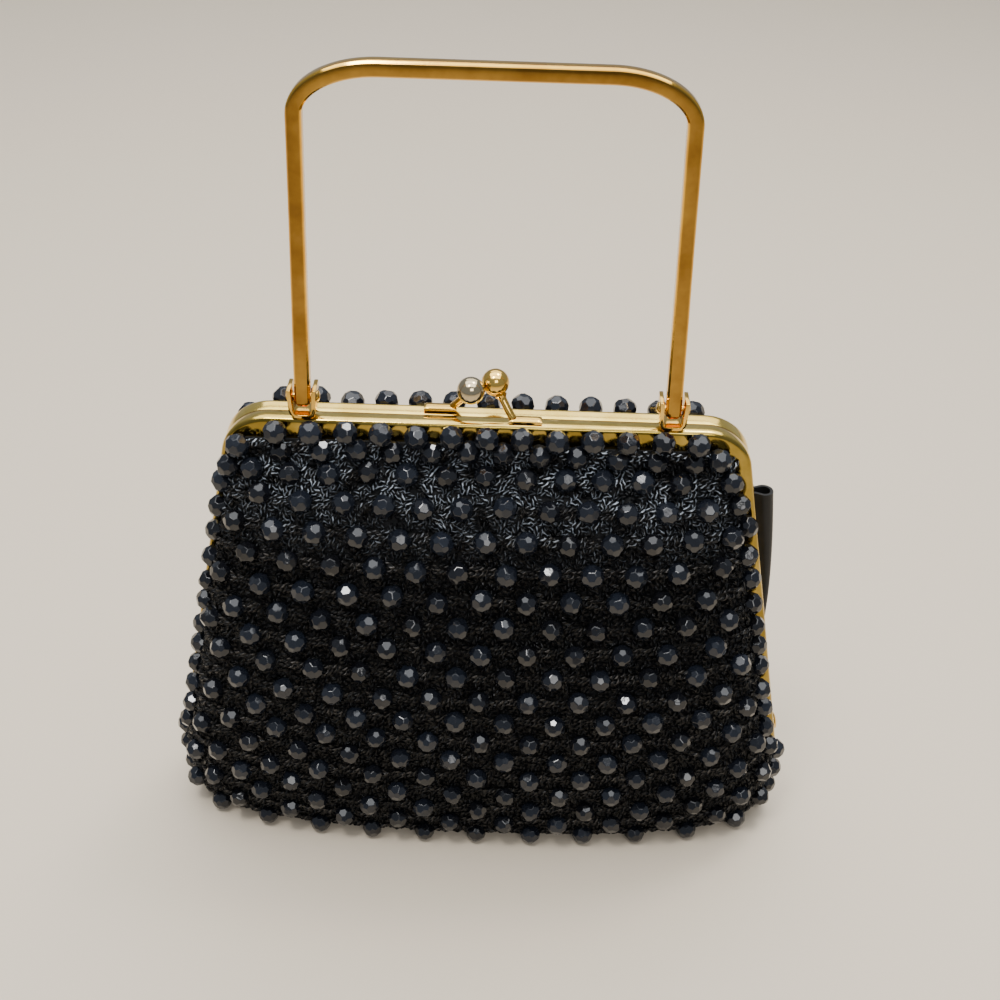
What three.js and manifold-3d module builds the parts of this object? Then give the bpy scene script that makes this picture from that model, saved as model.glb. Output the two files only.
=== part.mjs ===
// A flat crochet purse on a metal snap frame with a stiff swinging handle.
// Millimetres, +Z up, X along the frame, the front of the purse faces -Y.
// The origin is on the ground under the middle of the purse.

import * as THREE from 'three';
import { mergeVertices } from 'three/addons/utils/BufferGeometryUtils.js';
import Module from 'manifold-3d';

const wasm = await Module();
wasm.setup();

// Clearance between neighbouring pieces
const GAP = 0.3;
// Overlap that lets two shapes fuse or a cutter pass through a face
const BITE = 1.0;

// Frame: two bent angles that meet at the middle plane, one the mirror of the other
const FRAME_TOP = 188.5;
const FRAME_TOP_HALF_WIDTH = 87.1;
const FRAME_FLARE = THREE.MathUtils.degToRad(12.2);
const FRAME_CORNER_RADIUS = 17;
const FRAME_CORNER_STEPS = 6;
const FRAME_LEG_END = 40;
const FRAME_DEPTH = 6.2;
const FRAME_METAL = 1.2;
const FRAME_SHOULDER = 1.8;
const FRAME_SHOULDER_STEPS = 3;
const FRAME_FLANGE = 8;
// How the front flange narrows to a rounded tip at the leg ends: distance up the leg, flange width
const FRAME_TIP = [
  { up: 0, flange: 3.5 },
  { up: 2.5, flange: 6.4 },
  { up: 7, flange: FRAME_FLANGE },
];

// Rivets on which the two halves turn when the purse is opened
const HINGE_UP = 7;
const HINGE_HEAD_RADIUS = 3.4;
const HINGE_SHANK_RADIUS = 1.4;
const HINGE_HEAD_HEIGHT = 1.1;
const BORE_SIDES = 16;
const RIVET_SIDES = 14;
// Rivet head: share of its height that is straight, and share of its radius that is flat
const RIVET_CHAMFER = { rim: 0.4, crown: 0.7 };

// Snap clasp: each half carries a foot, a bent neck and a ball; the balls pass each other
const CLASP_X = -1.75;
const CLASP_BALL_RADIUS = 4.65;
const CLASP_BALL_REACH = 3.95;
const CLASP_BALL_LEAN = 2.85;
const CLASP_BALL_HEIGHT = 11.4;
const CLASP_FOOT = { length: 11, depth: 3.8, height: 1.4 };
const CLASP_FOOT_Y = 3.1;
const CLASP_NECK_RADIUS = 1.3;
const CLASP_NECK_OFFSET = 10.2;
const CLASP_NECK_RISE = 0.75;
// Where the neck bends: distance towards the ball along X and Y, and upwards
const CLASP_NECK_BEND = { across: 1.8, back: 0.8, up: 2.2 };

// Handle: a bevelled bar bent to a bail, standing in two U-shaped posts
const HANDLE_TOP = 304.5;
const HANDLE_TOP_HALF_WIDTH = 56.8;
const HANDLE_FLARE = THREE.MathUtils.degToRad(2.4);
const HANDLE_CORNER = { across: 24.5, rise: 14 };
const HANDLE_CORNER_STEPS = 8;
const HANDLE_END = 192.4;
const HANDLE_BAR = { width: 4.8, depth: 5.0, bevel: 0.8 };
const HANDLE_END_TAPER = { up: 1.2, scale: 0.7 };
// The bar widens towards its ends: distance up the leg and share of the bar's width
const HANDLE_SPREAD = [
  { up: 16, share: 1.09 },
  { up: 62, share: 1.0 },
];

const POST_X = 61.35;
const POST_Y = -2.4;
const POST = { width: 9, depth: 8, height: 10.8, metal: 1.4, corner: 3.0 };
const PIVOT_Z = 195.6;
const PIVOT_RADIUS = 1.0;
const PIVOT_HEAD_RADIUS = 1.9;
const PIVOT_HEAD_HEIGHT = 0.9;

// Crochet pouch
const CROCHET_WALL = 2.4;
const POUCH_FLOOR = 3;
const POUCH_RIM = 185.8;
const PANEL_CURVE = 2.6;
const TIP_CURVE = 3;
const PANEL_STEPS = 8;
const TIP_STEPS = 2;
// The pouch sides lie in the frame's channel, behind its front flange
const CHANNEL_DEPTH = FRAME_DEPTH - FRAME_METAL - GAP;
// Sections below the frame legs: height, half width, half depth, and the rounded end's depth and width
const LOW_SECTIONS = [
  { z: 0, width: 108, depth: 21.5, tipDepth: 6, tipWidth: 1.5 },
  { z: 1.5, width: 112, depth: 24.0, tipDepth: 6.5, tipWidth: 1.5 },
  { z: 5.5, width: 115.5, depth: 25.8, tipDepth: 6.8, tipWidth: 1.5 },
  { z: 14.5, width: 118, depth: 28.0, tipDepth: 6.8, tipWidth: 1.8 },
  { z: 24, width: 118.6, depth: 29.6, tipDepth: 6.2, tipWidth: 2.2 },
  { z: 32, width: 118.4, depth: 30.4, tipDepth: 5.4, tipWidth: 3.6 },
];
// Sections beside the frame legs: height and half depth, the width follows the frame
const HIGH_SECTIONS = [
  { z: 38.5, depth: 30.9 },
  { z: 55, depth: 31.8 },
  { z: 76, depth: 32.3 },
  { z: 97, depth: 31.1 },
  { z: 119, depth: 28.3 },
  { z: 135, depth: 26.1 },
  { z: 146, depth: 24.1 },
  { z: 155, depth: 21.5 },
  { z: 164, depth: 17.5 },
  { z: 172, depth: 12.0 },
  { z: 177, depth: 7.6 },
  { z: 180, depth: CHANNEL_DEPTH },
  { z: 184, depth: CHANNEL_DEPTH },
  { z: POUCH_RIM, depth: CHANNEL_DEPTH },
];
// The front and back panels part at the sides, from the rim down to the hinge rivets
const SIDE_SLIT = { half: 2.0, inset: 16, bottom: 46 };

// Satin gussets between the legs: the right one folds outwards, the left one inwards
const SATIN = 1.0;
const SATIN_HALF = 1.7;
const SATIN_STEPS = 10;
const SATIN_ARC = THREE.MathUtils.degToRad(240);
// Height, how far the fold stands out past the leg, and the fold's outer radius
const RIGHT_FOLD = [
  { z: 56, reach: -8, radius: SATIN_HALF },
  { z: 90, reach: -2.2, radius: SATIN_HALF },
  { z: 104, reach: 0.6, radius: SATIN_HALF },
  { z: 118, reach: 2.9, radius: 1.8 },
  { z: 132, reach: 4.6, radius: 2.3 },
  { z: 146, reach: 5.9, radius: 2.8 },
  { z: 161.5, reach: 7.0, radius: 3.2 },
];
const LEFT_FOLD = [
  { z: 56, reach: -4 },
  { z: 108, reach: -10 },
  { z: 160, reach: -15.5 },
];
const FOLD_HEM = -13;
const LEFT_HEM = -2.2;
const FOLD_SLOT = { bottom: 86, top: 164.5 };

// Row of beads sewn along the lower edge of each top flange
const BEAD_RADIUS = 3.9;
const BEAD_SIDES = 10;
const BEAD_BANDS = 6;
const EDGE_BEADS = { count: 13, spacing: 11.7, z: 186 };

const GOLD = { color: 0xb89a56, roughness: 0.28, metalness: 1.0 };
const FRAME_GOLD = { color: 0x9c8a4e, roughness: 0.38, metalness: 1.0 };
const CROCHET_BLACK = { color: 0x0b0b0d, roughness: 0.6, metalness: 0.0 };
const SATIN_BLACK = { color: 0x121214, roughness: 0.45, metalness: 0.0 };
const BEAD_BLACK = { color: 0x050507, roughness: 0.08, metalness: 0.0 };

// Solid from a closed geometry, for joining and cutting
function toSolid(geometry) {
  const bare = geometry.clone();
  bare.deleteAttribute('normal');
  bare.deleteAttribute('uv');
  const merged = mergeVertices(bare, 1e-4);
  const mesh = new wasm.Mesh({
    numProp: 3,
    vertProperties: new Float32Array(merged.attributes.position.array),
    triVerts: new Uint32Array(merged.index.array),
  });
  return new wasm.Manifold(mesh);
}

function fromSolid(solid) {
  const mesh = solid.getMesh();
  const geometry = new THREE.BufferGeometry();
  geometry.setAttribute('position', new THREE.BufferAttribute(new Float32Array(mesh.vertProperties), 3));
  geometry.setIndex(Array.from(mesh.triVerts));
  geometry.computeVertexNormals();
  return geometry;
}

function cut(geometry, cutters) {
  let solid = toSolid(geometry);
  for (const cutter of cutters) {
    solid = solid.subtract(toSolid(cutter));
  }
  return fromSolid(solid);
}

function join(geometries) {
  let solid = toSolid(geometries[0]);
  for (const geometry of geometries.slice(1)) {
    solid = solid.add(toSolid(geometry));
  }
  return fromSolid(solid);
}

// Six times the volume that the faces enclose, negative when they point inwards
function signedVolume(points, faces) {
  return faces.reduce((sum, [a, b, c]) => {
    const normal = new THREE.Vector3().crossVectors(points[b], points[c]);
    return sum + points[a].dot(normal);
  }, 0);
}

function facesToGeometry(points, faces) {
  const outward = signedVolume(points, faces) > 0;
  const index = faces.flatMap(([a, b, c]) => (outward ? [a, b, c] : [a, c, b]));
  const geometry = new THREE.BufferGeometry();
  geometry.setFromPoints(points);
  geometry.setIndex(index);
  geometry.computeVertexNormals();
  return geometry;
}

// Skin through closed rings with equal point counts, with flat ends given as triangles of one ring
function loft(rings, endFaces) {
  const count = rings[0].length;
  const points = rings.flat();
  const faces = [];
  for (let ring = 0; ring < rings.length - 1; ring += 1) {
    for (let i = 0; i < count; i += 1) {
      const a = ring * count + i;
      const b = ring * count + ((i + 1) % count);
      faces.push([a, b, b + count], [a, b + count, a + count]);
    }
  }
  const last = (rings.length - 1) * count;
  for (const [a, b, c] of endFaces) {
    faces.push([a, c, b], [last + a, last + b, last + c]);
  }
  return facesToGeometry(points, faces);
}

// Triangles that fill a flat outline given as 2-D points, turning the same way as the outline
function fillOutline(outline) {
  const clockwise = THREE.ShapeUtils.isClockWise(outline);
  return THREE.ShapeUtils.triangulateShape(outline, []).map(([a, b, c]) => {
    const turnsClockwise = THREE.ShapeUtils.isClockWise([outline[a], outline[b], outline[c]]);
    return turnsClockwise === clockwise ? [a, b, c] : [a, c, b];
  });
}

// Arch of two legs and a top bar with round or oval corners, as stations from the left leg end to the right one.
// Each station has its place, the outward direction in the arch's plane, and its distance up the leg.
function archStations({ top, halfWidth, flare, corner, steps, legEnd, legUps }) {
  const { across, rise } = corner;
  const legLength = (top - legEnd) / Math.cos(flare);
  const start = Math.atan((rise / across) * Math.tan(flare));
  const startDown = rise * (1 - Math.sin(start));
  const startX = halfWidth + startDown * Math.tan(flare);
  const centre = new THREE.Vector2(startX - across * Math.cos(start), top - rise);
  const right = legUps.map((up) => {
    const down = legLength - up;
    return {
      place: new THREE.Vector2(halfWidth + down * Math.sin(flare), top - down * Math.cos(flare)),
      out: new THREE.Vector2(Math.cos(flare), Math.sin(flare)),
      up,
    };
  });
  for (let i = 0; i <= steps; i += 1) {
    const angle = start + ((Math.PI / 2 - start) * i) / steps;
    const place = new THREE.Vector2(across * Math.cos(angle), rise * Math.sin(angle)).add(centre);
    const out = new THREE.Vector2(Math.cos(angle) / across, Math.sin(angle) / rise).normalize();
    right.push({ place, out, up: legLength });
  }
  const left = right.map(({ place, out, up }) => ({
    place: new THREE.Vector2(-place.x, place.y),
    out: new THREE.Vector2(-out.x, out.y),
    up,
  }));
  return [...left, ...right.reverse()];
}

// Outline of the frame's angle: x inwards from the outer face, y from the middle plane to the front
function frameSection(flange) {
  const seam = GAP / 2;
  const outline = [new THREE.Vector2(0, seam)];
  for (let i = 0; i <= FRAME_SHOULDER_STEPS; i += 1) {
    const angle = (Math.PI / 2) * (i / FRAME_SHOULDER_STEPS);
    const inward = FRAME_SHOULDER * (1 - Math.cos(angle));
    const front = FRAME_DEPTH - FRAME_SHOULDER * (1 - Math.sin(angle));
    outline.push(new THREE.Vector2(inward, front));
  }
  outline.push(new THREE.Vector2(flange, FRAME_DEPTH));
  outline.push(new THREE.Vector2(flange, FRAME_DEPTH - FRAME_METAL));
  outline.push(new THREE.Vector2(FRAME_METAL, FRAME_DEPTH - FRAME_METAL));
  outline.push(new THREE.Vector2(FRAME_METAL, seam));
  return outline;
}

function flangeAt(up) {
  const tip = FRAME_TIP.find((row) => up <= row.up);
  return tip ? tip.flange : FRAME_FLANGE;
}

// Place on the frame's right or left leg: height and distance out from the leg's outer face
function legPoint(side, z, out, y) {
  const x = FRAME_TOP_HALF_WIDTH + (FRAME_TOP - z) * Math.tan(FRAME_FLARE);
  const level = out / Math.cos(FRAME_FLARE);
  return new THREE.Vector3(side * (x + level), y, z);
}

// Shape with its own +Z turned to point out of a leg, at a height on the leg
function onLeg(geometry, side, z, out) {
  const turned = geometry.clone();
  turned.rotateY(side * (Math.PI / 2 - FRAME_FLARE));
  const place = legPoint(side, z, out * Math.cos(FRAME_FLARE) ** 2, 0);
  turned.translate(place.x, place.y, place.z + out * Math.sin(FRAME_FLARE));
  return turned;
}

function hingeHeight() {
  return FRAME_LEG_END + HINGE_UP * Math.cos(FRAME_FLARE);
}

// Round bar along Z, for bores
function bore(radius, length) {
  const bar = new THREE.CylinderGeometry(radius, radius, length, BORE_SIDES);
  bar.rotateX(Math.PI / 2);
  return bar;
}

// Slot through the right leg's side, where the satin fold comes out between the two halves
function foldSlot() {
  const height = FOLD_SLOT.top - FOLD_SLOT.bottom;
  const middle = (FOLD_SLOT.top + FOLD_SLOT.bottom) / 2;
  const half = SATIN_HALF + GAP;
  const slot = new THREE.BoxGeometry(height, 2 * half, 2 * (FRAME_METAL + BITE));
  return onLeg(slot, 1, middle, 0);
}

function frameHalf(facing) {
  const stations = archStations({
    top: FRAME_TOP,
    halfWidth: FRAME_TOP_HALF_WIDTH,
    flare: FRAME_FLARE,
    corner: { across: FRAME_CORNER_RADIUS, rise: FRAME_CORNER_RADIUS },
    steps: FRAME_CORNER_STEPS,
    legEnd: FRAME_LEG_END,
    legUps: FRAME_TIP.map((row) => row.up),
  });
  const rings = stations.map(({ place, out, up }) =>
    frameSection(flangeAt(up)).map((corner) => {
      const inner = place.clone().addScaledVector(out, -corner.x);
      return new THREE.Vector3(inner.x, facing * corner.y, inner.y);
    }),
  );
  const angle = loft(rings, fillOutline(frameSection(FRAME_TIP[0].flange)));
  const holes = [-1, 1].map((side) =>
    onLeg(bore(HINGE_SHANK_RADIUS + GAP, 4 * (FRAME_METAL + BITE)), side, hingeHeight(), 0),
  );
  return cut(angle, [...holes, foldSlot()]);
}

// Rivet with a chamfered head at both ends, turned about Z and centred on the joined metal
function rivetProfile(shank, head, headHeight, halfGrip) {
  const top = halfGrip + headHeight;
  const rim = halfGrip + headHeight * RIVET_CHAMFER.rim;
  const crown = head * RIVET_CHAMFER.crown;
  return [
    new THREE.Vector2(0, -top),
    new THREE.Vector2(crown, -top),
    new THREE.Vector2(head, -rim),
    new THREE.Vector2(head, -halfGrip),
    new THREE.Vector2(shank, -halfGrip),
    new THREE.Vector2(shank, halfGrip),
    new THREE.Vector2(head, halfGrip),
    new THREE.Vector2(head, rim),
    new THREE.Vector2(crown, top),
    new THREE.Vector2(0, top),
  ];
}

function rivetAlongZ(shank, head, headHeight, halfGrip) {
  const turned = new THREE.LatheGeometry(rivetProfile(shank, head, headHeight, halfGrip), RIVET_SIDES);
  turned.rotateX(Math.PI / 2);
  return turned;
}

function hingeRivet(side) {
  const halfGrip = FRAME_METAL / 2 + GAP;
  const rivet = rivetAlongZ(HINGE_SHANK_RADIUS, HINGE_HEAD_RADIUS, HINGE_HEAD_HEIGHT, halfGrip);
  return onLeg(rivet, side, hingeHeight(), -FRAME_METAL / 2);
}

// Clasp piece of the front half; the back one is the same piece turned half round
function claspPiece() {
  const footBottom = FRAME_TOP + GAP;
  const foot = new THREE.BoxGeometry(CLASP_FOOT.length, CLASP_FOOT.depth, CLASP_FOOT.height);
  const footStart = CLASP_NECK_OFFSET - CLASP_NECK_RADIUS;
  foot.translate(
    footStart + CLASP_FOOT.length / 2,
    -CLASP_FOOT_Y,
    footBottom + CLASP_FOOT.height / 2,
  );
  const ballPlace = new THREE.Vector3(CLASP_BALL_REACH, CLASP_BALL_LEAN, FRAME_TOP + CLASP_BALL_HEIGHT);
  const neckBottom = footBottom + CLASP_FOOT.height * CLASP_NECK_RISE;
  const neckStart = new THREE.Vector3(CLASP_NECK_OFFSET, -CLASP_FOOT_Y, neckBottom);
  const bend = new THREE.Vector3(-CLASP_NECK_BEND.across, CLASP_NECK_BEND.back, CLASP_NECK_BEND.up).add(neckStart);
  const round = new THREE.Shape();
  round.absarc(0, 0, CLASP_NECK_RADIUS, 0, 2 * Math.PI);
  const neck = new THREE.ExtrudeGeometry(round, {
    extrudePath: new THREE.QuadraticBezierCurve3(neckStart, bend, ballPlace),
    steps: 6,
    curveSegments: 5,
    bevelEnabled: false,
  });
  const ball = new THREE.SphereGeometry(CLASP_BALL_RADIUS, 16, 12);
  ball.translate(ballPlace.x, ballPlace.y, ballPlace.z);
  return join([foot, neck, ball]);
}

function barSection() {
  const { width, depth, bevel } = HANDLE_BAR;
  const x = width / 2;
  const y = depth / 2;
  return [
    new THREE.Vector2(x, y - bevel),
    new THREE.Vector2(x - bevel, y),
    new THREE.Vector2(bevel - x, y),
    new THREE.Vector2(-x, y - bevel),
    new THREE.Vector2(-x, bevel - y),
    new THREE.Vector2(bevel - x, -y),
    new THREE.Vector2(x - bevel, -y),
    new THREE.Vector2(x, bevel - y),
  ];
}

// Bar along X through one post, for the pivot's bores
function pivotBore(side, radius) {
  const bar = bore(radius, POST.width + 2 * BITE);
  bar.rotateY(Math.PI / 2);
  bar.translate(side * POST_X, POST_Y, PIVOT_Z);
  return bar;
}

function handleBar() {
  const stations = archStations({
    top: HANDLE_TOP,
    halfWidth: HANDLE_TOP_HALF_WIDTH,
    flare: HANDLE_FLARE,
    corner: HANDLE_CORNER,
    steps: HANDLE_CORNER_STEPS,
    legEnd: HANDLE_END,
    legUps: [0, HANDLE_END_TAPER.up, ...HANDLE_SPREAD.map((row) => row.up)],
  });
  const rings = stations.map(({ place, out, up }) => {
    const scale = up === 0 ? HANDLE_END_TAPER.scale : 1;
    const share = HANDLE_SPREAD.find((row) => up <= row.up)?.share ?? 1;
    return barSection().map((corner) => {
      const point = place.clone().addScaledVector(out, corner.x * scale * share);
      return new THREE.Vector3(point.x, POST_Y + corner.y * scale, point.y);
    });
  });
  const bar = loft(rings, fillOutline(barSection()));
  return cut(bar, [-1, 1].map((side) => pivotBore(side, PIVOT_RADIUS + GAP)));
}

// Strip bent to a U, open at the top, with a bore through both ears
function handlePost(side) {
  const { width, depth, height, metal, corner } = POST;
  const half = width / 2;
  const inner = half - metal;
  const innerCorner = corner - metal;
  const strip = new THREE.Shape();
  strip.moveTo(-half, height);
  strip.lineTo(-half, corner);
  strip.absarc(corner - half, corner, corner, Math.PI, 1.5 * Math.PI, false);
  strip.lineTo(half - corner, 0);
  strip.absarc(half - corner, corner, corner, 1.5 * Math.PI, 2 * Math.PI, false);
  strip.lineTo(half, height);
  strip.lineTo(inner, height);
  strip.lineTo(inner, corner);
  strip.absarc(half - corner, corner, innerCorner, 0, -0.5 * Math.PI, true);
  strip.lineTo(corner - half, metal);
  strip.absarc(corner - half, corner, innerCorner, 1.5 * Math.PI, Math.PI, true);
  strip.lineTo(-inner, height);
  const bent = new THREE.ExtrudeGeometry(strip, { depth, curveSegments: 5, bevelEnabled: false });
  bent.rotateX(Math.PI / 2);
  bent.translate(side * POST_X, POST_Y + depth / 2, FRAME_TOP + GAP);
  return cut(bent, [pivotBore(side, PIVOT_RADIUS + GAP)]);
}

function pivotRivet(side) {
  const rivet = rivetAlongZ(PIVOT_RADIUS, PIVOT_HEAD_RADIUS, PIVOT_HEAD_HEIGHT, POST.width / 2 + GAP);
  rivet.rotateY(Math.PI / 2);
  rivet.translate(side * POST_X, POST_Y, PIVOT_Z);
  return rivet;
}

// Half width at a height, at a distance inside the frame's outer face
function widthInFrame(z, inset) {
  const tangent = FRAME_CORNER_RADIUS * Math.tan((Math.PI / 2 - FRAME_FLARE) / 2);
  const centreZ = FRAME_TOP - FRAME_CORNER_RADIUS;
  const cornerStart = centreZ + FRAME_CORNER_RADIUS * Math.sin(FRAME_FLARE);
  if (z < cornerStart) {
    return legPoint(1, z, -inset, 0).x;
  }
  const radius = FRAME_CORNER_RADIUS - inset;
  const across = Math.sqrt(Math.max(radius ** 2 - (z - centreZ) ** 2, 0));
  return FRAME_TOP_HALF_WIDTH - tangent + across;
}

function pouchSections() {
  const high = HIGH_SECTIONS.map(({ z, depth }) => {
    const width = widthInFrame(z, FRAME_METAL + GAP);
    const tipWidth = width - widthInFrame(z, FRAME_FLANGE + GAP);
    return { z, width, depth, tipDepth: CHANNEL_DEPTH, tipWidth };
  });
  return [...LOW_SECTIONS, ...high];
}

// One quarter of a level outline, from the middle of the panel to the side:
// a full panel that curves back to the frame, then a narrow end that lies in the frame's channel
function quarterOutline({ width, depth, tipDepth, tipWidth }) {
  const panelWidth = width - tipWidth;
  const quarter = [];
  for (let i = 0; i < PANEL_STEPS; i += 1) {
    const across = Math.sin((Math.PI / 2) * (i / PANEL_STEPS));
    const fullness = (1 - across ** PANEL_CURVE) ** (1 / PANEL_CURVE);
    quarter.push(new THREE.Vector2(panelWidth * across, tipDepth + (depth - tipDepth) * fullness));
  }
  for (let i = 0; i <= TIP_STEPS; i += 1) {
    const angle = (Math.PI / 2) * (1 - i / TIP_STEPS);
    const along = Math.max(Math.cos(angle), 0) ** (2 / TIP_CURVE);
    const deep = i === TIP_STEPS ? 0 : Math.sin(angle) ** (2 / TIP_CURVE);
    quarter.push(new THREE.Vector2(panelWidth + tipWidth * along, tipDepth * deep));
  }
  return quarter;
}

function levelRing(section) {
  const quarter = quarterOutline(section);
  const back = quarter.slice(0, -1);
  const right = quarter.slice(1).reverse();
  const outline = [
    ...back,
    ...right.map((p) => new THREE.Vector2(p.x, -p.y)),
    ...back.map((p) => new THREE.Vector2(-p.x, -p.y)),
    ...right.map((p) => new THREE.Vector2(-p.x, p.y)),
  ];
  return outline.map((p) => new THREE.Vector3(p.x, p.y, section.z));
}

function insideWall(section) {
  return {
    ...section,
    width: section.width - CROCHET_WALL,
    depth: section.depth - CROCHET_WALL,
    tipDepth: section.tipDepth - CROCHET_WALL,
  };
}

// Slit between the panels on one side, ending in a round hole about the hinge rivet
function sideSlit(side) {
  const { half, inset, bottom } = SIDE_SLIT;
  const height = POUCH_RIM + BITE - bottom;
  const middle = bottom + height / 2;
  const slit = new THREE.BoxGeometry(height / Math.cos(FRAME_FLARE), 2 * half, inset + BITE);
  const hole = bore(HINGE_HEAD_RADIUS + GAP, FRAME_FLANGE);
  return [onLeg(slit, side, middle, -(inset - BITE) / 2), onLeg(hole, side, hingeHeight(), 0)];
}

function crochetPouch() {
  const outer = pouchSections();
  const inner = outer.filter(({ z }) => z > POUCH_FLOOR).map(insideWall);
  const floor = insideWall({ ...outer.find(({ z }) => z > POUCH_FLOOR), z: POUCH_FLOOR });
  const rings = [...outer, ...inner.reverse(), floor].map(levelRing);
  const base = levelRing(outer[0]).map((p) => new THREE.Vector2(p.x, p.y));
  const shell = loft(rings, fillOutline(base));
  return cut(shell, [...sideSlit(-1), ...sideSlit(1)]);
}

// Level line of a satin fold: out along the front layer, round the fold and back along the back layer
function foldLine({ reach, radius }, hem, layer) {
  const bend = radius - layer;
  const half = SATIN_HALF - layer;
  const centre = reach - radius;
  const line = [new THREE.Vector2(hem, -half), new THREE.Vector2(Math.min(centre - radius, -GAP), -half)];
  for (let i = 0; i <= SATIN_STEPS; i += 1) {
    const angle = SATIN_ARC * (i / SATIN_STEPS - 0.5);
    const open = Math.max(Math.abs(Math.sin(angle)) * bend, Math.abs(angle) > Math.PI / 2 ? half : 0);
    line.push(new THREE.Vector2(centre + Math.cos(angle) * bend, Math.sign(angle) * open));
  }
  line.push(new THREE.Vector2(line[1].x, half), new THREE.Vector2(hem, half));
  return line;
}

// Level line of the fold that lies inside: the hems at the leg, the fold towards the middle
function tuckLine({ reach }, hem, layer) {
  const bend = SATIN_HALF - layer;
  const line = [new THREE.Vector2(hem, -bend)];
  for (let i = 0; i <= SATIN_STEPS; i += 1) {
    const angle = Math.PI * (i / SATIN_STEPS - 0.5);
    line.push(new THREE.Vector2(reach - Math.cos(angle) * bend, Math.sin(angle) * bend));
  }
  line.push(new THREE.Vector2(hem, bend));
  return line;
}

// Satin sheet: each level is a ring that runs along the outer face and back along the inner face
function satinFold(rows, side, hem, levelLine) {
  const rings = rows.map((row) => {
    const ring = [...levelLine(row, hem, 0), ...levelLine(row, hem, SATIN).reverse()];
    return ring.map((p) => legPoint(side, row.z, p.x, p.y));
  });
  const count = rings[0].length;
  const ends = [];
  for (let i = 0; i < count / 2 - 1; i += 1) {
    const across = count - 1 - i;
    ends.push([i, i + 1, across - 1], [i, across - 1, across]);
  }
  return loft(rings, ends);
}

function edgeBead() {
  const bead = new THREE.SphereGeometry(BEAD_RADIUS, BEAD_SIDES, BEAD_BANDS);
  bead.rotateX(Math.PI / 2);
  return bead;
}

const purse = new THREE.Group();

function addPiece(name, geometry, finish) {
  const piece = new THREE.Mesh(geometry, new THREE.MeshStandardMaterial(finish));
  piece.name = name;
  purse.add(piece);
  return piece;
}

addPiece('crochet_body', crochetPouch(), CROCHET_BLACK);
addPiece('front_frame', frameHalf(-1), FRAME_GOLD);
addPiece('back_frame', frameHalf(1), FRAME_GOLD);
addPiece('gusset_right', satinFold(RIGHT_FOLD, 1, FOLD_HEM, foldLine), SATIN_BLACK);
addPiece('gusset_left', satinFold(LEFT_FOLD, -1, LEFT_HEM, tuckLine), SATIN_BLACK);
addPiece('handle', handleBar(), GOLD);

const claspFront = addPiece('clasp_front', claspPiece(), GOLD);
claspFront.position.x = CLASP_X;
const claspBack = addPiece('clasp_back', claspPiece(), GOLD);
claspBack.position.x = CLASP_X;
claspBack.rotation.z = Math.PI;

for (const [name, side] of [['left', -1], ['right', 1]]) {
  addPiece(`hinge_rivet_${name}`, hingeRivet(side), GOLD);
  addPiece(`post_${name}`, handlePost(side), GOLD);
  addPiece(`rivet_${name}`, pivotRivet(side), GOLD);
}

for (const [name, facing] of [['front', -1], ['back', 1]]) {
  for (let i = 0; i < EDGE_BEADS.count; i += 1) {
    const number = String(i + 1).padStart(2, '0');
    const bead = addPiece(`edge_bead_${name}_${number}`, edgeBead(), BEAD_BLACK);
    const x = (i - (EDGE_BEADS.count - 1) / 2) * EDGE_BEADS.spacing;
    bead.position.set(x, facing * (FRAME_DEPTH + GAP + BEAD_RADIUS), EDGE_BEADS.z);
  }
}

export default purse;
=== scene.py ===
"""Looks of a beaded crochet purse on a gold snap frame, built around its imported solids."""

from __future__ import annotations

import logging
import math
from dataclasses import dataclass, field, replace
from enum import Enum
from typing import Sequence

import bmesh
import bpy
import numpy as np
from mathutils import Matrix, Vector

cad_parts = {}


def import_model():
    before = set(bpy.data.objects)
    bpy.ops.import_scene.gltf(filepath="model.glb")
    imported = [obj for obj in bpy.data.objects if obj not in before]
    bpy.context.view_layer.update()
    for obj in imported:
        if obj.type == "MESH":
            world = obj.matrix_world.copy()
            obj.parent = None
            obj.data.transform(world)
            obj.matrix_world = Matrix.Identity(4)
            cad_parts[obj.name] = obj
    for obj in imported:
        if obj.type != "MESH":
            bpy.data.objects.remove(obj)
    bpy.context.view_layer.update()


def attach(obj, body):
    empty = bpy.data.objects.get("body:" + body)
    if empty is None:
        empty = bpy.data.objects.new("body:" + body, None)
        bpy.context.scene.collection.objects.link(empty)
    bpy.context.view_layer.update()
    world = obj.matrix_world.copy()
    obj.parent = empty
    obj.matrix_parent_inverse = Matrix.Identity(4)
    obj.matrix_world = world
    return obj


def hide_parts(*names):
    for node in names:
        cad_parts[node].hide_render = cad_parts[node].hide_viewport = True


LOG = logging.getLogger("purse")
MM = 0.001
ROOT_BODY = "purse"
HANDLE_BODY = "bail"
QUARTER_TURN = math.pi / 2
FULL_TURN = 2.0 * math.pi

Colour = tuple[float, float, float]
Span = tuple[float, float]
Ring = list[Vector]
Faces = list[list[int]]
Values = dict[object, object]

AXIS_X, AXIS_Y, AXIS_Z = Vector((1.0, 0.0, 0.0)), Vector((0.0, 1.0, 0.0)), Vector((0.0, 0.0, 1.0))
# Middle of the right handle rivet; the left one is its mirror image
HANDLE_PIVOT = (61.35, -2.4, 195.6)
# Sides of a bead's large facets; the small ones have one less
FACET_SIDES = 6
# Heights of the bead rows under the row that lies on the flange
BEAD_ROWS = (
    179.4, 171.4, 162.7, 152.3, 141.2, 130.0, 119.0, 108.0, 97.0, 86.2, 75.6, 65.0, 54.6, 44.2, 34.0, 24.0,
    14.0, 5.0,
)


class Labelled(Enum):
    """A choice whose name is part of the names of pieces."""

    @property
    def label(self) -> str:
        """The name in small letters."""
        return self.name.lower()


class Face(Labelled):
    """Which way a panel of the purse looks, as the sign of its Y."""

    FRONT = -1
    BACK = 1


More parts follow.
